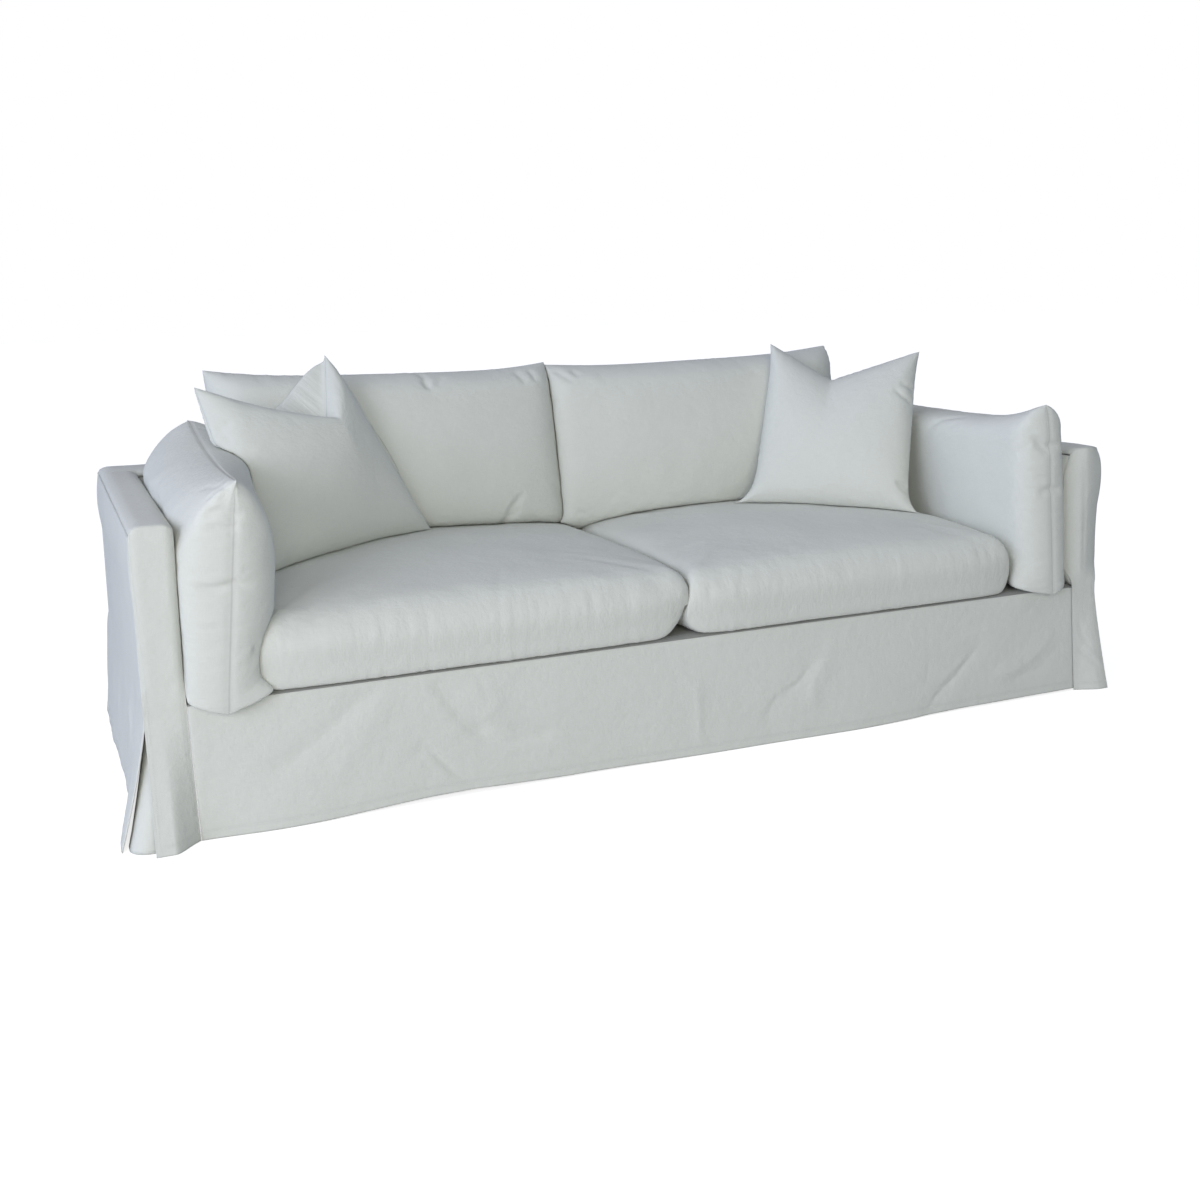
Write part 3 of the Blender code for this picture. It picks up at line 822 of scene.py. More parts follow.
def deckPanel():
    edge = innerX - gap

    def surface(s, t):
        y = mix(frontY, innerY - gap, t**2)
        fall = deckFall * max(0.0, 1 - (y - frontY) / (5 * deckFall)) ** 2
        return Vector((mix(-edge, edge, s), y, deckZ - fall))

    panel = makeSheet("deck", surface, 60, 28, 2.28, seed=24, soft=0.0)
    # the deck's cloth is darkened to paint the shade seen under the seat cushions
    panel.data.materials[0] = deckShadeCloth
    return panel


frontSkirt = {
    "hem": [(-1.13, 0.006, 0.000), (-0.95, 0.018, 0.000), (-0.60, 0.004, 0.010), (-0.30, 0.004, 0.004),
            (0.10, 0.010, 0.000), (0.45, 0.020, 0.000), (0.80, 0.006, 0.005), (1.15, 0.004, 0.006)],
    "calm": 0.05,
    # from (x, z) to (x, z), half width and height towards the viewer
    "folds": [
        (-0.55, 0.290, -0.49, 0.190, 0.030, 0.0028),
        (-0.61, 0.262, -0.52, 0.150, 0.022, -0.0028),
        (-0.52, 0.150, -0.38, 0.112, 0.022, -0.0024),
        (-0.65, 0.120, -0.53, 0.010, 0.022, -0.0021),
        (-0.77, 0.262, -0.96, 0.126, 0.026, -0.0024),
        (-0.73, 0.250, -0.83, 0.110, 0.030, 0.0021),
        (0.01, 0.165, 0.014, 0.045, 0.016, 0.0015),
        (0.32, 0.180, 0.20, 0.070, 0.022, -0.0021),
        (0.37, 0.195, 0.32, 0.100, 0.024, 0.0020),
        (0.82, 0.158, 0.66, 0.012, 0.024, -0.0021),
        (1.05, 0.153, 0.90, 0.078, 0.024, 0.0020),
    ],
    # sharper lines: the path as (x, z), half width and height
    "creases": [
        ([(-0.618, 0.268), (-0.601, 0.231), (-0.577, 0.192), (-0.546, 0.150), (-0.508, 0.118),
          (-0.468, 0.105), (-0.412, 0.106), (-0.355, 0.111)], 0.010, -0.0017),
        ([(-0.548, 0.285), (-0.520, 0.263), (-0.509, 0.229), (-0.500, 0.193)], 0.008, -0.0014),
        ([(-0.575, 0.234), (-0.537, 0.188), (-0.497, 0.151), (-0.444, 0.134)], 0.012, 0.0014),
        ([(-0.646, 0.121), (-0.621, 0.097), (-0.602, 0.074), (-0.577, 0.046), (-0.528, 0.014)],
         0.0065, -0.0020),
        ([(-0.654, 0.110), (-0.623, 0.075), (-0.592, 0.040)], 0.009, 0.0013),
        ([(-0.768, 0.263), (-0.834, 0.207), (-0.873, 0.175), (-0.961, 0.126)], 0.012, -0.0010),
        ([(0.009, 0.163), (0.013, 0.113), (0.014, 0.048)], 0.006, 0.0010),
        ([(0.322, 0.179), (0.299, 0.153), (0.278, 0.137), (0.244, 0.126)], 0.0065, -0.0015),
        ([(0.235, 0.120), (0.210, 0.098), (0.195, 0.070)], 0.0065, -0.0014),
        ([(0.301, 0.174), (0.277, 0.151), (0.241, 0.133)], 0.008, 0.0010),
        ([(0.368, 0.195), (0.332, 0.156), (0.319, 0.121), (0.331, 0.074)], 0.009, 0.0010),
        ([(0.468, 0.211), (0.449, 0.184)], 0.008, -0.0008),
        ([(0.821, 0.158), (0.789, 0.127), (0.752, 0.092), (0.714, 0.066), (0.685, 0.043), (0.661, 0.012)],
         0.0065, -0.0021),
        ([(0.797, 0.150), (0.740, 0.110), (0.693, 0.074)], 0.009, 0.0013),
        ([(0.671, 0.143), (0.658, 0.087)], 0.0065, -0.0011),
        ([(1.055, 0.153), (1.006, 0.111), (0.939, 0.080), (0.871, 0.077)], 0.012, 0.0013),
        ([(1.066, 0.119), (1.017, 0.077), (0.929, 0.057)], 0.012, -0.0010),
    ],
}


def skirtHem(x):
    rows = frontSkirt["hem"]
    for before, after in zip(rows, rows[1:]):
        if x <= after[0]:
            break
    t = smoothstep((x - before[0]) / (after[0] - before[0]))
    return mix(before[1], after[1], t), mix(before[2], after[2], t)


def foldHeight(fold, x, z):
    x0, z0, x1, z1, spread, height = fold
    runX, runZ = x1 - x0, z1 - z0
    along = ((x - x0) * runX + (z - z0) * runZ) / (runX**2 + runZ**2)
    along = min(max(along, 0.0), 1.0)
    distance = math.hypot(x - x0 - runX * along, z - z0 - runZ * along)
    return height * math.exp(-((distance / spread) ** 2))


def skirtPanel():
    high = deckZ - deckFall - clothThickness - gap

    def surface(s, t):
        out, lift = skirtHem(mix(-innerX, innerX, s))
        z = mix(hemZ + lift, high, t)
        left = seamAt(-1, z) + gap
        right = seamAt(1, z) - gap
        x = mix(left, right, s)
        folds = sum(foldHeight(fold, x, z) for fold in frontSkirt["folds"])
        calm = smoothstep((high - z) / frontSkirt["calm"])
        calm *= smoothstep(min(x - left, right - x) / frontSkirt["calm"])
        return Vector((x, frontY - out * drop(z) - folds * calm, z))

    return makeSheet("front_skirt", surface, 400, 70, 2.28, sewn="lrt", hem="b", seed=27, soft=0.0012,
                     creases=frontSkirt["creases"], topstitch=hemRow, restsOn=["deck"])


pleats = {
    "out": {-1: (0.053, 0.040), 1: (0.028, 0.016)},
    "rearOut": (0.006, 0.026),
    "leg": 0.066,
    "radius": 0.040,
    "tail": (0.025, 0.25),  # how far the top reaches over the slit, and its share of the rows
    "depth": 0.005,
}


def cornerPath(turn):
    leg, radius = pleats["leg"], pleats["radius"]
    bend = radius / leg
    if turn < -bend:
        return 0.0, -turn * leg
    if turn > bend:
        return turn * leg, 0.0
    angle = math.radians(45 * (turn / bend + 1))
    return radius * (1 - math.cos(angle)), radius * (1 - math.sin(angle))


def cornerPleat(side, rear):
    end = 1 if rear else -1
    sideFirst = (side < 0) != rear
    outX, outY = pleats["rearOut"] if rear else pleats["out"][side]
    tail, share = pleats["tail"]

    def surface(s, t):
        z = mix(hemZ, slitZ, min(t / (1 - share), 1.0)) + tail * max(t + share - 1, 0.0) / share
        behind = clothThickness + gap + pleats["depth"] * smoothstep(6 * drop(z))
        x = sideAt(z, end * backY, side) - behind + drop(z) * outX
        y = backY - behind + drop(z) * outY
        turn = 2 * s - 1 if sideFirst else 1 - 2 * s
        inX, inY = cornerPath(turn)
        return Vector((side * (x - inX), end * (y - inY), z))

    name = "pleat_" + ("rear_" if rear else "front_") + sideName(side)
    panels = ["arm_front_" + sideName(side)] if not rear else ["outside_back"]
    return makeSheet(name, surface, 28, 40, 0.12, sewn="t", hem="b", soft=0.0005, seed=30,
                     restsOn=panels + ["outside_arm_" + sideName(side)])


for side in (-1, 1):
    armTop(side)
    armFront(side)
    outsideArm(side)
    insideArm(side)
    for rear in (False, True):
        cornerPleat(side, rear)
backTop()
outsideBack()
insideBack()
deckPanel()
skirtPanel()
print("stage: the cover's panels are hung")

# Cushions


def spaced(count, reaches, half, wall):
    left, right = (min(reach, 0.5) for reach in reaches)
    arcs = [math.pi / 2 * math.sqrt(((reach * half) ** 2 + wall**2) / 2) for reach in (left, right)]
    middle = (2 - left - right) * half
    total = sum(arcs) + middle
    out, at = np.empty(count + 1), np.linspace(0, total, count + 1)
    for i, length in enumerate(at):
        if length < arcs[0]:
            out[i] = left * (1 - math.cos(length / arcs[0] * math.pi / 2)) - 1
        elif length > total - arcs[1]:
            out[i] = 1 - right * (1 - math.cos((total - length) / arcs[1] * math.pi / 2))
        else:
            out[i] = left - 1 + (length - arcs[0]) / half
    return out, at


def edgeRise(away, edge):  # edge: reach, and two powers that say how blunt the rise is
    reach, blunt, steep = edge
    t = np.clip(away / reach, 0, 1)
    return (1 - (1 - t) ** blunt) ** (1 / steep)


crownPower = 0.62
boxyPower = 2.5
rearPanelAt = 3.0  # where the rear panel starts in the cloth's flat layout


def faceHeight(u, v, face):
    crown = (np.maximum(0.0, 1 - u * u) * np.maximum(0.0, 1 - v * v)) ** crownPower
    walls = edgeRise(u + 1, face["left"]) * edgeRise(1 - u, face["right"])
    top = edgeRise(1 - v, face["high"])
    if "highFar" in face:  # the top edge changes along its length
        far, start, end = face["highFar"]
        share = np.clip((u - start) / (end - start), 0, 1)
        top = top + (edgeRise(1 - v, far) - top) * share * share * (3 - 2 * share)
    ends = edgeRise(v + 1, face["low"]) * top
    if face.get("boxy"):  # a corner keeps its height where two edges meet
        lack = np.maximum(1 - walls, 0) ** boxyPower + np.maximum(1 - ends, 0) ** boxyPower
        walls = 1 - np.minimum(lack, 1) ** (1 / boxyPower)
    else:
        walls = walls * ends
    height = face["wall"] * walls + face["puff"] * crown
    for atU, atV, spreadU, spreadV, amount in face.get("bulges", ()):
        bump = np.exp(-(((u - atU) / spreadU) ** 2) - ((v - atV) / spreadV) ** 2)
        height = height + amount * bump * np.minimum(walls * 1.5, 1.0)
    return height


def drawnIn(u, v, row):
    left, right, low, high = row["pull"]
    ear, lean = row.get("ear", 2.0), row.get("pullLean", 0.0)
    across = np.where(u > 0, right, left) * (1 - np.abs(v) ** ear) * np.abs(u) ** 3 * (1 - lean * v)
    along = np.where(v > 0, high, low) * (1 - np.abs(u) ** ear) * np.abs(v) ** 3
    lowLeft, lowRight, highRight, highLeft = row.get("cornerCuts", (0, 0, 0, 0))
    cut = np.where(u < 0, np.where(v < 0, lowLeft, highLeft), np.where(v < 0, lowRight, highRight))
    roundU, roundV = np.sqrt(1 - cut * v**8 / 2), np.sqrt(1 - cut * u**8 / 2)
    return (u - np.copysign(across, u)) * roundU, (v - np.copysign(along, v)) * roundV


def pillowMesh(name, row, place):
    columns, rows = row["cells"]
    width, height = row["size"]
    front, rear = row["front"], row["rear"]
    us, alongU = spaced(columns, (front["left"][0], front["right"][0]), width / 2, front["wall"])
    vs, alongV = spaced(rows, (front["low"][0], front["high"][0]), height / 2, front["wall"])
    index, points, uPlace, vPlace, surface, faces, flat = {}, [], [], [], [], [], []
    for way, face in ((1, front), (-1, rear)):
        gridU, gridV = np.meshgrid(us, vs)
        lifted = faceHeight(gridU, gridV, face) * way
        pulledU, pulledV = drawnIn(gridU, gridV, row)
        for j in range(rows + 1):
            for i in range(columns + 1):
                onSeam = i in (0, columns) or j in (0, rows)
                if onSeam and way < 0:
                    continue
                index[i, j, way] = len(points)
                if onSeam:
                    index[i, j, -way] = len(points)
                points.append(place(pulledU[j, i], pulledV[j, i], 0.0 if onSeam else lifted[j, i]))
                uPlace.append(us[i])
                vPlace.append(vs[j])
                surface.append(min(alongU[i], alongU[-1] - alongU[i], alongV[j], alongV[-1] - alongV[j]))
        for j in range(rows):
            for i in range(columns):
                ring = ((i, j), (i + 1, j), (i + 1, j + 1), (i, j + 1))
                if way < 0:
                    ring = ring[::-1]
                faces.append([index[a, b, way] for a, b in ring])
                flat.extend((alongU[a] * way + (0.0 if way > 0 else rearPanelAt), alongV[b]) for a, b in ring)
    thing = linkMesh(name, points, faces)
    thing["rearFrom"] = (columns + 1) * (rows + 1)
    setUvs(thing, flat)
    setPointNumbers(thing, "acrossPanel", uPlace)
    setPointNumbers(thing, "upPanel", vPlace)
    setPointNumbers(thing, "seamAway", surface)
    return thing


def seamDistance(thing, row):
    u, v = readPointNumbers(thing, "acrossPanel"), readPointNumbers(thing, "upPanel")
    width, height = row["size"]
    inU, inV = (1 - np.abs(u)) * width / 2, (1 - np.abs(v)) * height / 2
    # the signed shifts keep the places along the four edges apart
    alongEdge = np.where(inU < inV, v * height / 2 + 2.0 * np.sign(u), u * width / 2 + 5.0 * np.sign(v))
    return np.minimum(inU, inV), alongEdge


clearance, pressedGap = 0.0006, 0.0002  # what stays free between two cushions that press on each other


def treeOf(thing, lift=clearance):
    corners = [vertex.co + vertex.normal * lift for vertex in thing.data.vertices]
    return BVHTree.FromPolygons(corners, [tuple(face.vertices) for face in thing.data.polygons])


def neighbourMean(edges, values, rounds):
    count = np.zeros(len(values))
    np.add.at(count, edges[:, 0], 1)
    np.add.at(count, edges[:, 1], 1)
    for _ in range(rounds):
        total = np.zeros_like(values)
        np.add.at(total, edges[:, 0], values[edges[:, 1]])
        np.add.at(total, edges[:, 1], values[edges[:, 0]])
        values = 0.5 * values + 0.5 * total / count[:, None]
    return values


def giveWay(thing, contacts, rounds=2):
    edges = np.array([tuple(edge.vertices) for edge in thing.data.edges])
    points = readPoints(thing)
    for _ in range(rounds):
        for tree, heading in contacts:
            heading = Vector(heading).normalized()
            shift = np.zeros((len(points), 1))
            for number, point in enumerate(points):
                hit, normal, _, _ = tree.ray_cast(Vector(point), heading)
                if hit is not None and normal.dot(heading) > 0:
                    shift[number] = (hit - Vector(point)).dot(heading) + pressedGap
            if shift.any():
                shift = np.maximum(shift, neighbourMean(edges, shift, 3))
            points = points + shift * np.array(heading)
    writePoints(thing, points)


filling = {
    "cloth": {
        "quality": 5,
        "mass": 0.3,
        "tension_stiffness": 18,
        "compression_stiffness": 18,
        "shear_stiffness": 8,
        "bending_stiffness": 0.15,
        "use_pressure": True,
        "uniform_pressure_force": 4.0,
        "vertex_group_mass": "held",
        "pin_stiffness": 1.0,
        "vertex_group_shrink": "drawn",
        "shrink_min": 0.0,
        "shrink_max": 0.05,  # how much shorter the thread draws the seam
    },
    "frames": 14,
    "onSeam": 0.001,
    "held": (0.12, 0.9),  # how firmly the filling holds the cloth, and the thread holds the seam
    "calm": (0.012, 0.15),  # the reach and the share of the wrinkles beside the seam
    "wrinkles": 0.5,  # the share of the wrinkles that is kept
    "cap": 0.006,
    "smoothing": 14,  # rounds of averaging that find the slow swelling, which is taken back
}


def puffUp(thing, row):
    scene = bpy.context.scene
    start = readPoints(thing)
    fromSeam, _ = seamDistance(thing, row)
    drawn = thing.vertex_groups.new(name="drawn")
    held = thing.vertex_groups.new(name="held")
    for number, away in enumerate(fromSeam):
        onSeam = bool(away < filling["onSeam"])
        firm = 1.0 if row.get("flatRear") and number >= thing["rearFrom"] else filling["held"][onSeam]
        drawn.add([number], float(onSeam), "REPLACE")
        held.add([number], firm, "REPLACE")
    cloth = thing.modifiers.new("Cloth", "CLOTH")
    for key, value in filling["cloth"].items():
        setattr(cloth.settings, key, value)
    cloth.settings.effector_weights.gravity = 0.0
    cloth.collision_settings.use_collision = False
    cloth.collision_settings.use_self_collision = False
    cloth.point_cache.frame_start, cloth.point_cache.frame_end = 1, filling["frames"]
    for moment in range(1, filling["frames"] + 1):
        scene.frame_set(moment)
    applyModifiers(thing)
    scene.frame_set(1)
    thing.vertex_groups.clear()
    moved = readPoints(thing) - start
    edges = np.array([tuple(edge.vertices) for edge in thing.data.edges])
    moved = (moved - neighbourMean(edges, moved, filling["smoothing"])) * filling["wrinkles"]
    reach, least = filling["calm"]
    moved *= np.clip(fromSeam / reach, least, 1)[:, None]
    length = np.maximum(np.linalg.norm(moved, axis=1, keepdims=True), 1e-9)
    moved *= filling["cap"] * np.tanh(length / filling["cap"]) / length
    writePoints(thing, start + moved)


puckers = {
    "depth": 0.0022,
    # size along and across the seam, factor of the seed, share
    "waves": ((0.011, 0.10, 1.7, 1.0), (0.026, 0.15, 2.9, 0.6)),
    "patches": 0.16,  # size of the stretches where they are stronger or weaker
    "strength": (0.1, 1.2),
    "rise": (0.006, 0.013),
    "reach": 0.028,
}
frontBand = {"z": 0.405, "half": 0.036, "patches": 0.15}
swelling = ((0.16, 0.004, 0), (0.05, 0.001, 3))  # size, height and shift of the seed
swellingReach = 0.04
seamWidth = 0.0045


def seamPuckers(fromSeam, alongEdge, seed):
    at = np.array([sum(share * noise.noise(Vector((a / size, seed * factor, d / deep)))
                       for size, deep, factor, share in puckers["waves"])
                   for a, d in zip(alongEdge, fromSeam)])
    places = [Vector((a / puckers["patches"], seed * 0.7, 0.0)) for a in alongEdge]
    strength = np.array([0.5 + noise.noise(place) for place in places])
    rise, fall = puckers["rise"]
    shape = fromSeam / rise * np.exp(1 - fromSeam / fall)
    shape = np.minimum(shape, np.exp(-fromSeam / puckers["reach"]) * 1.2)
    return puckers["depth"] * at * np.clip(strength, *puckers["strength"]) * shape


def frontPuckers(points, normals, depth, seed):  # short upright puckers where the cloth turns over the front
    at = np.array([noise.noise(Vector((x / 0.016, z / 0.09, seed)))
                   + 0.7 * noise.noise(Vector((x / 0.034, z / 0.12, seed + 2.0))) for x, _, z in points])
    places = [Vector((x / frontBand["patches"], 0.0, seed + 5.0)) for x, _, _ in points]
    patches = np.array([noise.noise(place) for place in places])
    band = groove(points[:, 2] - frontBand["z"], 1.0, frontBand["half"])
    band *= np.clip(-normals[:, 1] * 1.6 - 0.2, 0, 1)
    return depth * at * np.clip(0.35 + 1.3 * patches, 0.1, 1) * band


def finishCushion(thing, row, contacts=()):
    puffUp(thing, row)
    sub = thing.modifiers.new("Finer", "SUBSURF")
    sub.levels = sub.render_levels = 1
    applyModifiers(thing)
    fromSeam, alongEdge = seamDistance(thing, row)
    points, normals = readPoints(thing), readPoints(thing, "normal")
    offset = sum(lumps(points, size, height, row["seed"] + shift) for size, height, shift in swelling)
    offset *= np.clip(fromSeam / swellingReach, 0, 1)
    offset += seamPuckers(fromSeam, alongEdge, row["seed"])
    if "frontPuckers" in row:
        offset += frontPuckers(points, normals, row["frontPuckers"], row["seed"])
    offset += creaseShape(points, laidOn(treeOf(thing, 0.0), row.get("creases", ())))
    seamAway = readPointNumbers(thing, "seamAway")
    offset -= groove(seamAway, row.get("seamDip", 0.0024), seamWidth)
    writePoints(thing, points + normals * offset[:, None])
    # seamHidden pushes the painted seam shade away where a seam should not show
    setPointNumbers(thing, "seamAway", seamAway + row.get("seamHidden", 0.0))
    giveWay(thing, contacts)
    node = thing.name.replace("_cloth", "")
    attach(thing, "root")
    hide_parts(node)


def puffedFace(wall, puff, left, right, low, high, **more):  # a bare number is the reach of a round edge
    edges = {"left": left, "right": right, "low": low, "high": high}
    edges = {name: edge if isinstance(edge, tuple) else (edge, 2, 2) for name, edge in edges.items()}
    return {"wall": wall, "puff": puff, **edges, **more}


def shared(rows):  # adds what the two cushions of a kind have in common to each of their rows
    return {**rows, **{which: {**rows["both"], **rows[which]} for which in ("left", "right")}}


# Creases are a path, its half width and its height. Ends, ears and feet are given from left to right.

seamZ = 0.338
seatWall = seamZ - deckZ - gap
seats = shared({
    "frontY": frontY - 0.015,
    "rearY": innerY - 0.012,
    "frontBulge": 0.014,
    "bellyHeight": 0.12,
    "both": {
        "cells": (72, 72), "size": (1.10, 1.10), "cornerCuts": (0.12, 0.16, 0.05, 0.05), "flatRear": True,
        "frontPuckers": 0.0021, "seamDip": 0.0, "seamHidden": 0.02, "fill": 0.85,
    },
    "left": {
        "ends": (-1.000, 0.014), "endBulge": (0.008, 0.014), "seamLift": (0.006, 0.036),
        "toeLift": (0.0, 0.036), "pull": (0.006, 0.0, 0.002, 0.01), "seed": 41,
        "creases": [
            ([(-0.356, -0.531, 0.434), (-0.373, -0.551, 0.413), (-0.374, -0.563, 0.379)], 0.007, -0.0014),
            ([(-0.414, -0.409, 0.474), (-0.456, -0.509, 0.450), (-0.468, -0.555, 0.406)], 0.008, -0.0014),
            ([(-0.298, -0.506, 0.451), (-0.322, -0.542, 0.424)], 0.007, -0.0012),
        ],
        "front": puffedFace(0.102, 0.054, (0.14, 2.5, 2.3), (0.13, 2.5, 2.3), (0.16, 3.1, 2.7), 0.13,
                            boxy=True),
        "rear": puffedFace(seatWall, 0.0, 0.07, 0.15, 0.016, 0.05),
    },
    "right": {
        "ends": (-0.026, 0.944), "endBulge": (0.0, 0.008), "seamLift": (0.006, 0.012),
        "toeLift": (0.005, 0.0), "pull": (0.0, 0.006, 0.002, 0.01), "seed": 42,
        "creases": [
            ([(0.052, -0.546, 0.412), (0.040, -0.559, 0.377)], 0.006, -0.0014),
            ([(0.131, -0.548, 0.413), (0.113, -0.561, 0.369)], 0.007, -0.0014),
            ([(0.218, -0.548, 0.414), (0.204, -0.562, 0.369)], 0.006, -0.0014),
            ([(0.309, -0.475, 0.462), (0.273, -0.529, 0.434)], 0.009, -0.0014),
        ],
        "front": puffedFace(0.102, 0.054, (0.13, 2.5, 2.3), (0.14, 2.5, 2.3), (0.16, 3.1, 2.7), 0.13,
                            boxy=True),
        "rear": puffedFace(seatWall, 0.0, 0.10, 0.08, 0.016, 0.05),
    },
})


def seatCushion(which):
    row = seats[which]
    x0, x1 = row["ends"]
    halfX, halfY = (x1 - x0) / 2, (seats["rearY"] - seats["frontY"]) / 2
    midY = (seats["frontY"] + seats["rearY"]) / 2

    def place(u, v, h):
        end = 1 if u > 0 else 0
        belly = math.sin(math.pi * min(max(h, 0.0) / seats["bellyHeight"], 1.0))
        x = (x0 + x1) / 2 + u * halfX + row["endBulge"][end] * math.copysign(abs(u) ** 12, u) * belly
        y = midY + v * halfY - seats["frontBulge"] * max(-v, 0.0) ** 12 * belly
        lift = row["seamLift"][end] * abs(u) ** 8 * smoothstep(-v * 2)
        z = seamZ + lift * (1 if h >= 0 else 1 + h / row["rear"]["wall"])
        if h < 0:
            z += row["toeLift"][end] * smoothstep(abs(u) / 0.2 - 4.0) * smoothstep(-v / 0.5 - 0.8)
        return Vector((x, y, z + h * (1 if h < 0 else 1 - lift * 6)))

    return pillowMesh("seat_cushion_" + which, row, place)


arms = shared({
    "frontY": frontY - 0.036,
    "rearY": 0.335,
    "toe": 0.05,
    "droopUnder": (0.33, 0.05, 0.1),  # height, over what height, and share of the length
    "overhangFrom": (0.668, 0.035),
    "both": {"cells": (94, 54), "size": (1.02, 0.62), "fill": 0.8},
    "left": {
        "seam": (1.052, 1.012), "ears": (0.746, 0.801), "toeZ": 0.268, "overhang": 0.030, "toeDroop": 0.14,
        "pull": (0.004, 0.020, 0.0, 0.10), "cornerCuts": (0.0, 0.05, 0.12, 0.0), "seed": 51,
        "creases": [
            ([(-1.084, -0.579, 0.681), (-1.045, -0.583, 0.686), (-1.022, -0.585, 0.674),
              (-1.002, -0.583, 0.674)], 0.008, -0.0070),
            ([(-1.078, -0.582, 0.655), (-1.030, -0.584, 0.650), (-1.010, -0.584, 0.650)], 0.007, -0.0058),
            ([(-1.107, -0.573, 0.538), (-1.065, -0.583, 0.529), (-1.034, -0.584, 0.536),
              (-0.988, -0.580, 0.525)], 0.008, -0.0070),
            ([(-0.999, -0.581, 0.395), (-0.977, -0.571, 0.388)], 0.008, -0.0050),
            ([(-1.021, -0.580, 0.741), (-1.051, -0.566, 0.725), (-1.077, -0.558, 0.699)], 0.009, -0.0030),
            ([(-1.027, -0.583, 0.733), (-1.038, -0.584, 0.711), (-1.044, -0.583, 0.700)], 0.008, -0.0034),
            ([(-1.036, -0.569, 0.735), (-1.064, -0.486, 0.723)], 0.010, -0.0028),
        ],
        "front": puffedFace(0.084, 0.022, (0.18, 2.1, 2.0), 0.20, 0.06, (0.85, 1.8, 1.5),
                            boxy=True, highFar=((0.30, 2, 2), -0.8, 0.2),
                            bulges=((-0.97, -0.96, 0.10, 0.10, 0.034),)),
        "rear": puffedFace(0.092, 0.050, (0.12, 2.6, 2.3), 0.30, 0.06, (0.75, 1.8, 1.6),
                           boxy=True, highFar=((0.50, 1.8, 1.7), -0.9, -0.1)),
    },
    "right": {
        "seam": (1.040, 1.016), "ears": (0.797, 0.796), "toeZ": 0.284, "overhang": 0.0, "toeDroop": 0.10,
        "pull": (0.020, 0.004, 0.0, 0.225), "cornerCuts": (0.05, 0.0, 0.12, 0.10), "ear": 4.0, "seed": 52,
        "creases": [
            ([(0.967, -0.573, 0.710), (1.003, -0.583, 0.685), (1.057, -0.579, 0.676)], 0.009, -0.0080),
            ([(0.976, -0.577, 0.691), (1.021, -0.584, 0.659)], 0.008, -0.0060),
            ([(0.989, -0.580, 0.557), (1.024, -0.584, 0.567), (1.067, -0.578, 0.558)], 0.009, -0.0065),
            ([(0.928, -0.149, 0.686), (0.948, -0.224, 0.730), (0.973, -0.296, 0.745)], 0.010, -0.0036),
            ([(0.927, -0.198, 0.674), (0.942, -0.304, 0.726)], 0.008, -0.0016),
        ],
        "front": puffedFace(0.076, 0.022, 0.20, (0.13, 2.5, 2.2), 0.06, (0.36, 2.2, 2),
                            boxy=True, bulges=((0.95, -0.93, 0.12, 0.14, 0.030),)),
        "rear": puffedFace(0.062, 0.020, 0.30, (0.11, 2.5, 2.2), 0.06, (0.36, 2.2, 2), boxy=True),
    },
})


def armCushion(which):
    side = -1 if which == "left" else 1
    row = arms[which]
    earFront, earRear = row["ears"]
    seamLow, seamHigh = row["seam"]
    droopUnder, droopFade, droopShare = arms["droopUnder"]
    overhangFrom, overhangFade = arms["overhangFrom"]

    def place(u, v, h):
        along = (u + 1) / 2 if side < 0 else (1 - u) / 2
        y = mix(arms["frontY"], arms["rearY"], along)
        low = mix(row["toeZ"], deckZ + gap, smoothstep(along / arms["toe"]))
        z = mix(low, mix(earFront, earRear, along), (v + 1) / 2)
        seam = mix(seamLow, seamHigh, (z - deckZ) / (earFront - deckZ))
        droop = smoothstep((droopUnder - z) / droopFade) * smoothstep(1 - along / droopShare)
        z += abs(h) * row["toeDroop"] * droop
        over = row["overhang"] * smoothstep((z - overhangFrom) / overhangFade)
        return Vector((side * min(seam - h, innerX - gap + over), y, z))

    return pillowMesh("arm_cushion_" + which, row, place)


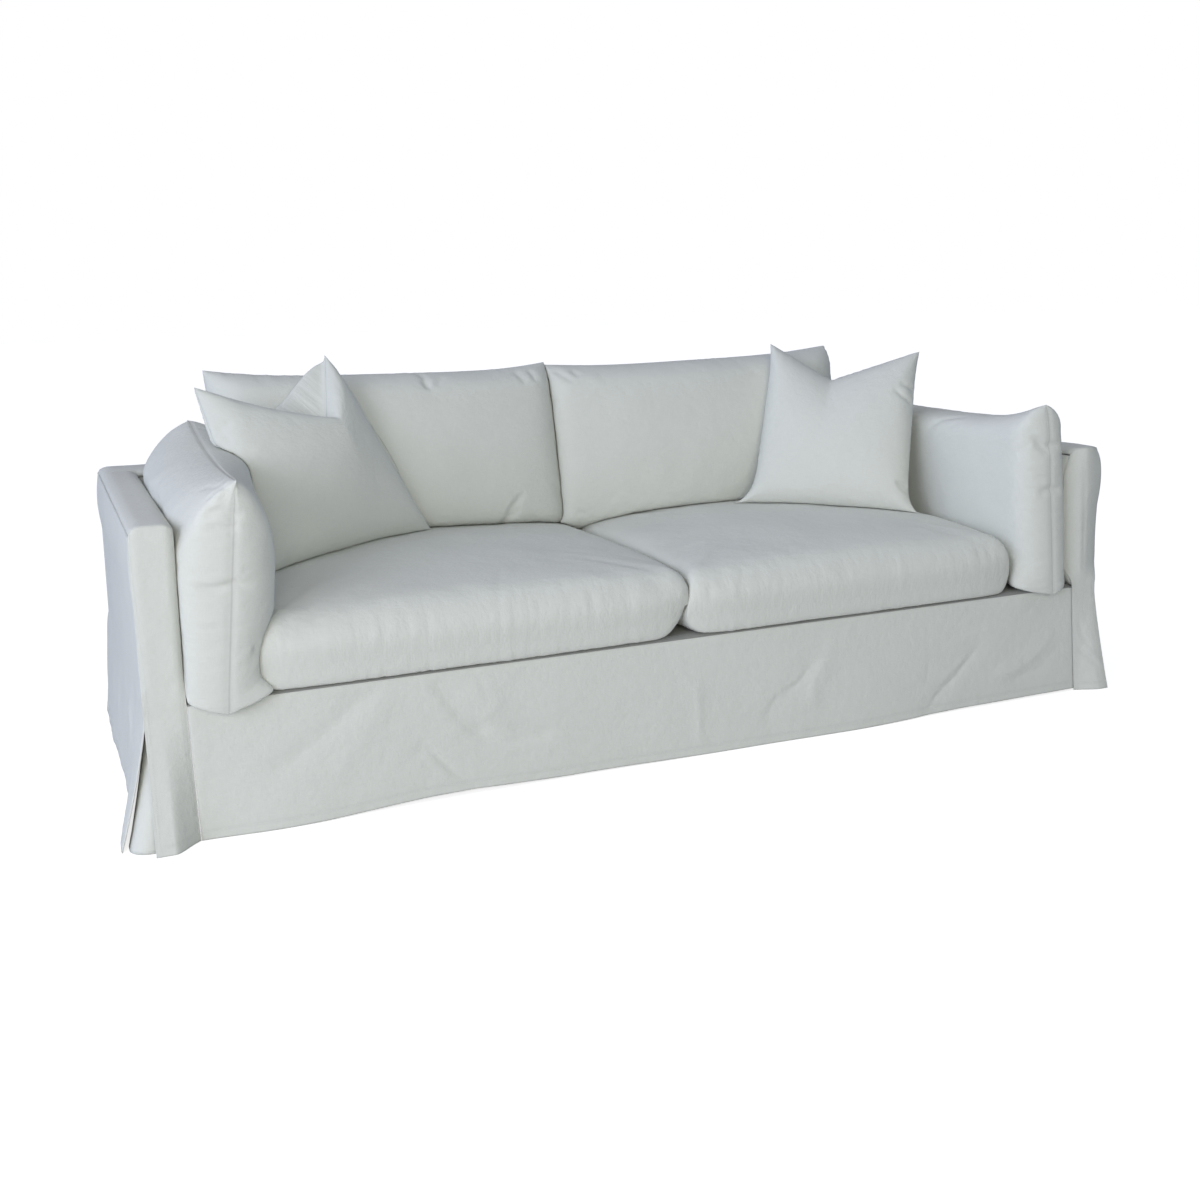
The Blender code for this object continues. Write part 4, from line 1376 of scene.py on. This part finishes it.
backs = shared({
    "lowY": 0.232,
    "highY": 0.296,
    "both": {
        "cells": (80, 46), "size": (1.00, 0.58), "ear": 4.0, "fill": 0.75,
        "rear": puffedFace(0.060, 0.050, 0.20, 0.20, 0.20, 0.20),
    },
    "left": {
        "ends": (-0.972, -0.050), "ears": (0.922, 0.905), "foot": (0.440, 0.436), "slant": 0.022,
        "pull": (0.03, 0.0, 0.02, 0.10), "cornerCuts": (0.08, 0.02, 0.02, 0.04), "seed": 61,
        "front": puffedFace(0.078, 0.086, 0.22, 0.16, 0.24, 0.30),
        "creases": [
            ([(-0.179, 0.125, 0.565), (-0.214, 0.124, 0.524), (-0.237, 0.165, 0.474)], 0.010, -0.0066),
            ([(-0.191, 0.126, 0.527), (-0.217, 0.138, 0.489)], 0.009, -0.0050),
            ([(-0.429, 0.186, 0.878), (-0.420, 0.156, 0.854)], 0.009, -0.0048),
            ([(-0.427, 0.244, 0.891), (-0.418, 0.166, 0.865), (-0.413, 0.151, 0.845)], 0.009, -0.0050),
            ([(-0.367, 0.199, 0.882), (-0.404, 0.161, 0.859)], 0.009, -0.0042),
            ([(-0.120, 0.230, 0.886), (-0.105, 0.175, 0.862)], 0.009, -0.0050),
            ([(-0.165, 0.225, 0.889), (-0.140, 0.168, 0.860)], 0.009, -0.0042),
        ],
    },
    "right": {
        "ends": (-0.092, 0.872), "ears": (0.905, 0.925), "foot": (0.412, 0.440), "slant": 0.0,
        "pull": (0.0, 0.03, 0.02, 0.10), "cornerCuts": (0.05, 0.08, 0.12, 0.14), "seed": 62,
        "front": puffedFace(0.078, 0.086, 0.16, 0.22, 0.24, 0.30),
        "creases": [
            ([(-0.048, 0.239, 0.886), (-0.018, 0.192, 0.862), (0.001, 0.181, 0.851)], 0.009, -0.0052),
            ([(0.000, 0.224, 0.887), (0.016, 0.188, 0.864)], 0.009, -0.0046),
            ([(-0.025, 0.141, 0.494), (0.008, 0.137, 0.481)], 0.009, -0.0042),
            ([(-0.065, 0.213, 0.802), (-0.042, 0.180, 0.792)], 0.005, -0.0016),
            ([(-0.063, 0.191, 0.748), (-0.042, 0.170, 0.743)], 0.005, -0.0014),
        ],
    },
})


def backCushion(which):
    row = backs[which]
    x0, x1 = row["ends"]

    def place(u, v, h):
        across, up = (u + 1) / 2, (v + 1) / 2
        high, foot = mix(*row["ears"], across), mix(*row["foot"], across)
        lean = math.atan2(backs["highY"] - backs["lowY"], high - foot)
        y = mix(backs["lowY"], backs["highY"], up) - h * math.cos(lean)
        z = mix(foot, high, up) + h * math.sin(lean)
        return Vector((mix(x0, x1 + row["slant"] * (1 - up), across), min(y, innerY - gap), z))

    return pillowMesh("back_cushion_" + which, row, place)


scatters = shared({
    "dipFade": 2.4,
    "ridgeBehind": 0.03,
    "ridgeRows": 0.04,  # the share of the height over which the rear panel parts from the front
    "ridgeTurn": 0.003,
    "both": {
        "cells": (60, 60), "fill": 0.6,
        "front": puffedFace(0.024, 0.072, 0.25, 0.25, 0.25, 0.25),
        "rear": puffedFace(0.020, 0.062, 0.25, 0.25, 0.25, 0.25),
    },
    "left": {
        "corners": ((-0.925, -0.180, 0.461), (-0.440, 0.110, 0.484),
                    (-0.682, 0.170, 0.952), (-1.020, 0.010, 0.896)),
        "dip": (-0.712, 0.036, 0.791), "dipAt": 0.28, "ridgeFrom": -0.30, "ridgeLift": 0.030,
        "earCurves": (1.0, 1.15), "sags": (0.013, 0.0),
        "size": (0.56, 0.54), "pull": (-0.01, 0.08, 0.04, 0.0), "ear": 3.0, "seed": 71,
        "creases": [
            ([(-0.970, -0.036, 0.795), (-0.945, -0.051, 0.809)], 0.008, -0.0026),
            ([(-0.980, -0.023, 0.813), (-0.945, -0.063, 0.760)], 0.008, -0.0026),
        ],
    },
    "right": {
        "corners": ((0.420, 0.060, 0.490), (0.852, -0.245, 0.462),
                    (0.960, -0.075, 0.909), (0.600, 0.160, 0.936)),
        "dip": (0.760, 0.080, 0.822), "dipAt": -0.10, "ridgeFrom": 2.0,
        "earCurves": (1.35, 1.3), "sags": (0.0, 0.0),
        "size": (0.54, 0.52), "pull": (0.15, 0.11, 0.04, 0.0), "ear": 8.0, "pullLean": 0.35, "seed": 72,
        "creases": [
            ([(0.838, -0.127, 0.810), (0.860, -0.143, 0.788), (0.893, -0.136, 0.762)], 0.008, -0.0060),
            ([(0.860, -0.123, 0.825), (0.912, -0.114, 0.795)], 0.008, -0.0050),
            ([(0.788, -0.215, 0.561), (0.839, -0.206, 0.540)], 0.008, -0.0060),
            ([(0.795, -0.217, 0.548), (0.846, -0.212, 0.512)], 0.008, -0.0040),
        ],
    },
})


def scatterAhead(which):
    lowLeft, lowRight, _, highLeft = (Vector(corner) for corner in scatters[which]["corners"])
    return (lowRight - lowLeft).cross(highLeft - lowLeft).normalized()


def scatterCushion(which):
    row = scatters[which]
    lowLeft, lowRight, highRight, highLeft = (Vector(corner) for corner in row["corners"])
    dip, dipAt = Vector(row["dip"]), row["dipAt"]
    ahead = scatterAhead(which)

    def topEdgeAt(u):
        end, corner = (0, highLeft) if u < dipAt else (1, highRight)
        t = (u + 1) / (dipAt + 1) if u < dipAt else (1 - u) / (1 - dipAt)
        sag = row["sags"][end] * math.sin(math.pi * t)
        return corner.lerp(dip, t ** row["earCurves"][end]) - Vector((0, 0, sag))

    ridgeFrom = row["ridgeFrom"]
    ridgeFoot = topEdgeAt(ridgeFrom) - ahead * scatters["ridgeBehind"] if ridgeFrom < 1 else None

    def place(u, v, h):
        across, up = (u + 1) / 2, (v + 1) / 2
        straight = highLeft.lerp(highRight, across)
        low = lowLeft.lerp(lowRight, across)
        struck = topEdgeAt(u) - straight
        if h < 0 and ridgeFoot is not None and u > ridgeFrom:  # the rear panel stands up behind the dip
            t = (1 - u) / (1 - ridgeFrom)
            lift = row["ridgeLift"] * 9.5 * t * (1 - t) ** 3  # the factor makes the highest place 1
            ridge = highRight.lerp(ridgeFoot, t) - straight + Vector((0, 0, lift))
            parted = smoothstep((1 - up) / scatters["ridgeRows"]) * smoothstep(-h / scatters["ridgeTurn"])
            struck = struck.lerp(ridge, parted)
        return low.lerp(straight, up) + struck * max(up, 0.0) ** scatters["dipFade"] + ahead * float(h)

    return pillowMesh("scatter_cushion_" + which, row, place)


def layCushion(piece, row, contacts):
    giveWay(piece, contacts)
    finishCushion(piece, row, contacts)
    return treeOf(piece)


ends = {"left": -1, "right": 1}
seatTrees, armTrees, backTrees = {}, {}, {}
for which in ends:
    contacts = [(seatTrees["left"], (1, 0, 0))] if which == "right" else []
    seatTrees[which] = layCushion(seatCushion(which), seats[which], contacts)
for which, side in ends.items():
    armTrees[which] = layCushion(armCushion(which), arms[which], [(seatTrees[which], (side, 0, 0))])
for which, side in ends.items():
    contacts = [(armTrees[which], (-side, 0, 0)), (seatTrees[which], (0, 0, 1))]
    contacts.append((seatTrees["left" if side > 0 else "right"], (0, 0, 1)))
    if side > 0:
        contacts.append((backTrees["left"], (1, 0, 0)))
    backTrees[which] = layCushion(backCushion(which), backs[which], contacts)
for which, side in ends.items():
    contacts = [(backTrees[which], scatterAhead(which)), (armTrees[which], (-side, 0, 0))]
    contacts.append((seatTrees[which], (0, 0, 1)))
    layCushion(scatterCushion(which), scatters[which], contacts)
print("stage: the cushions are filled and laid in place")
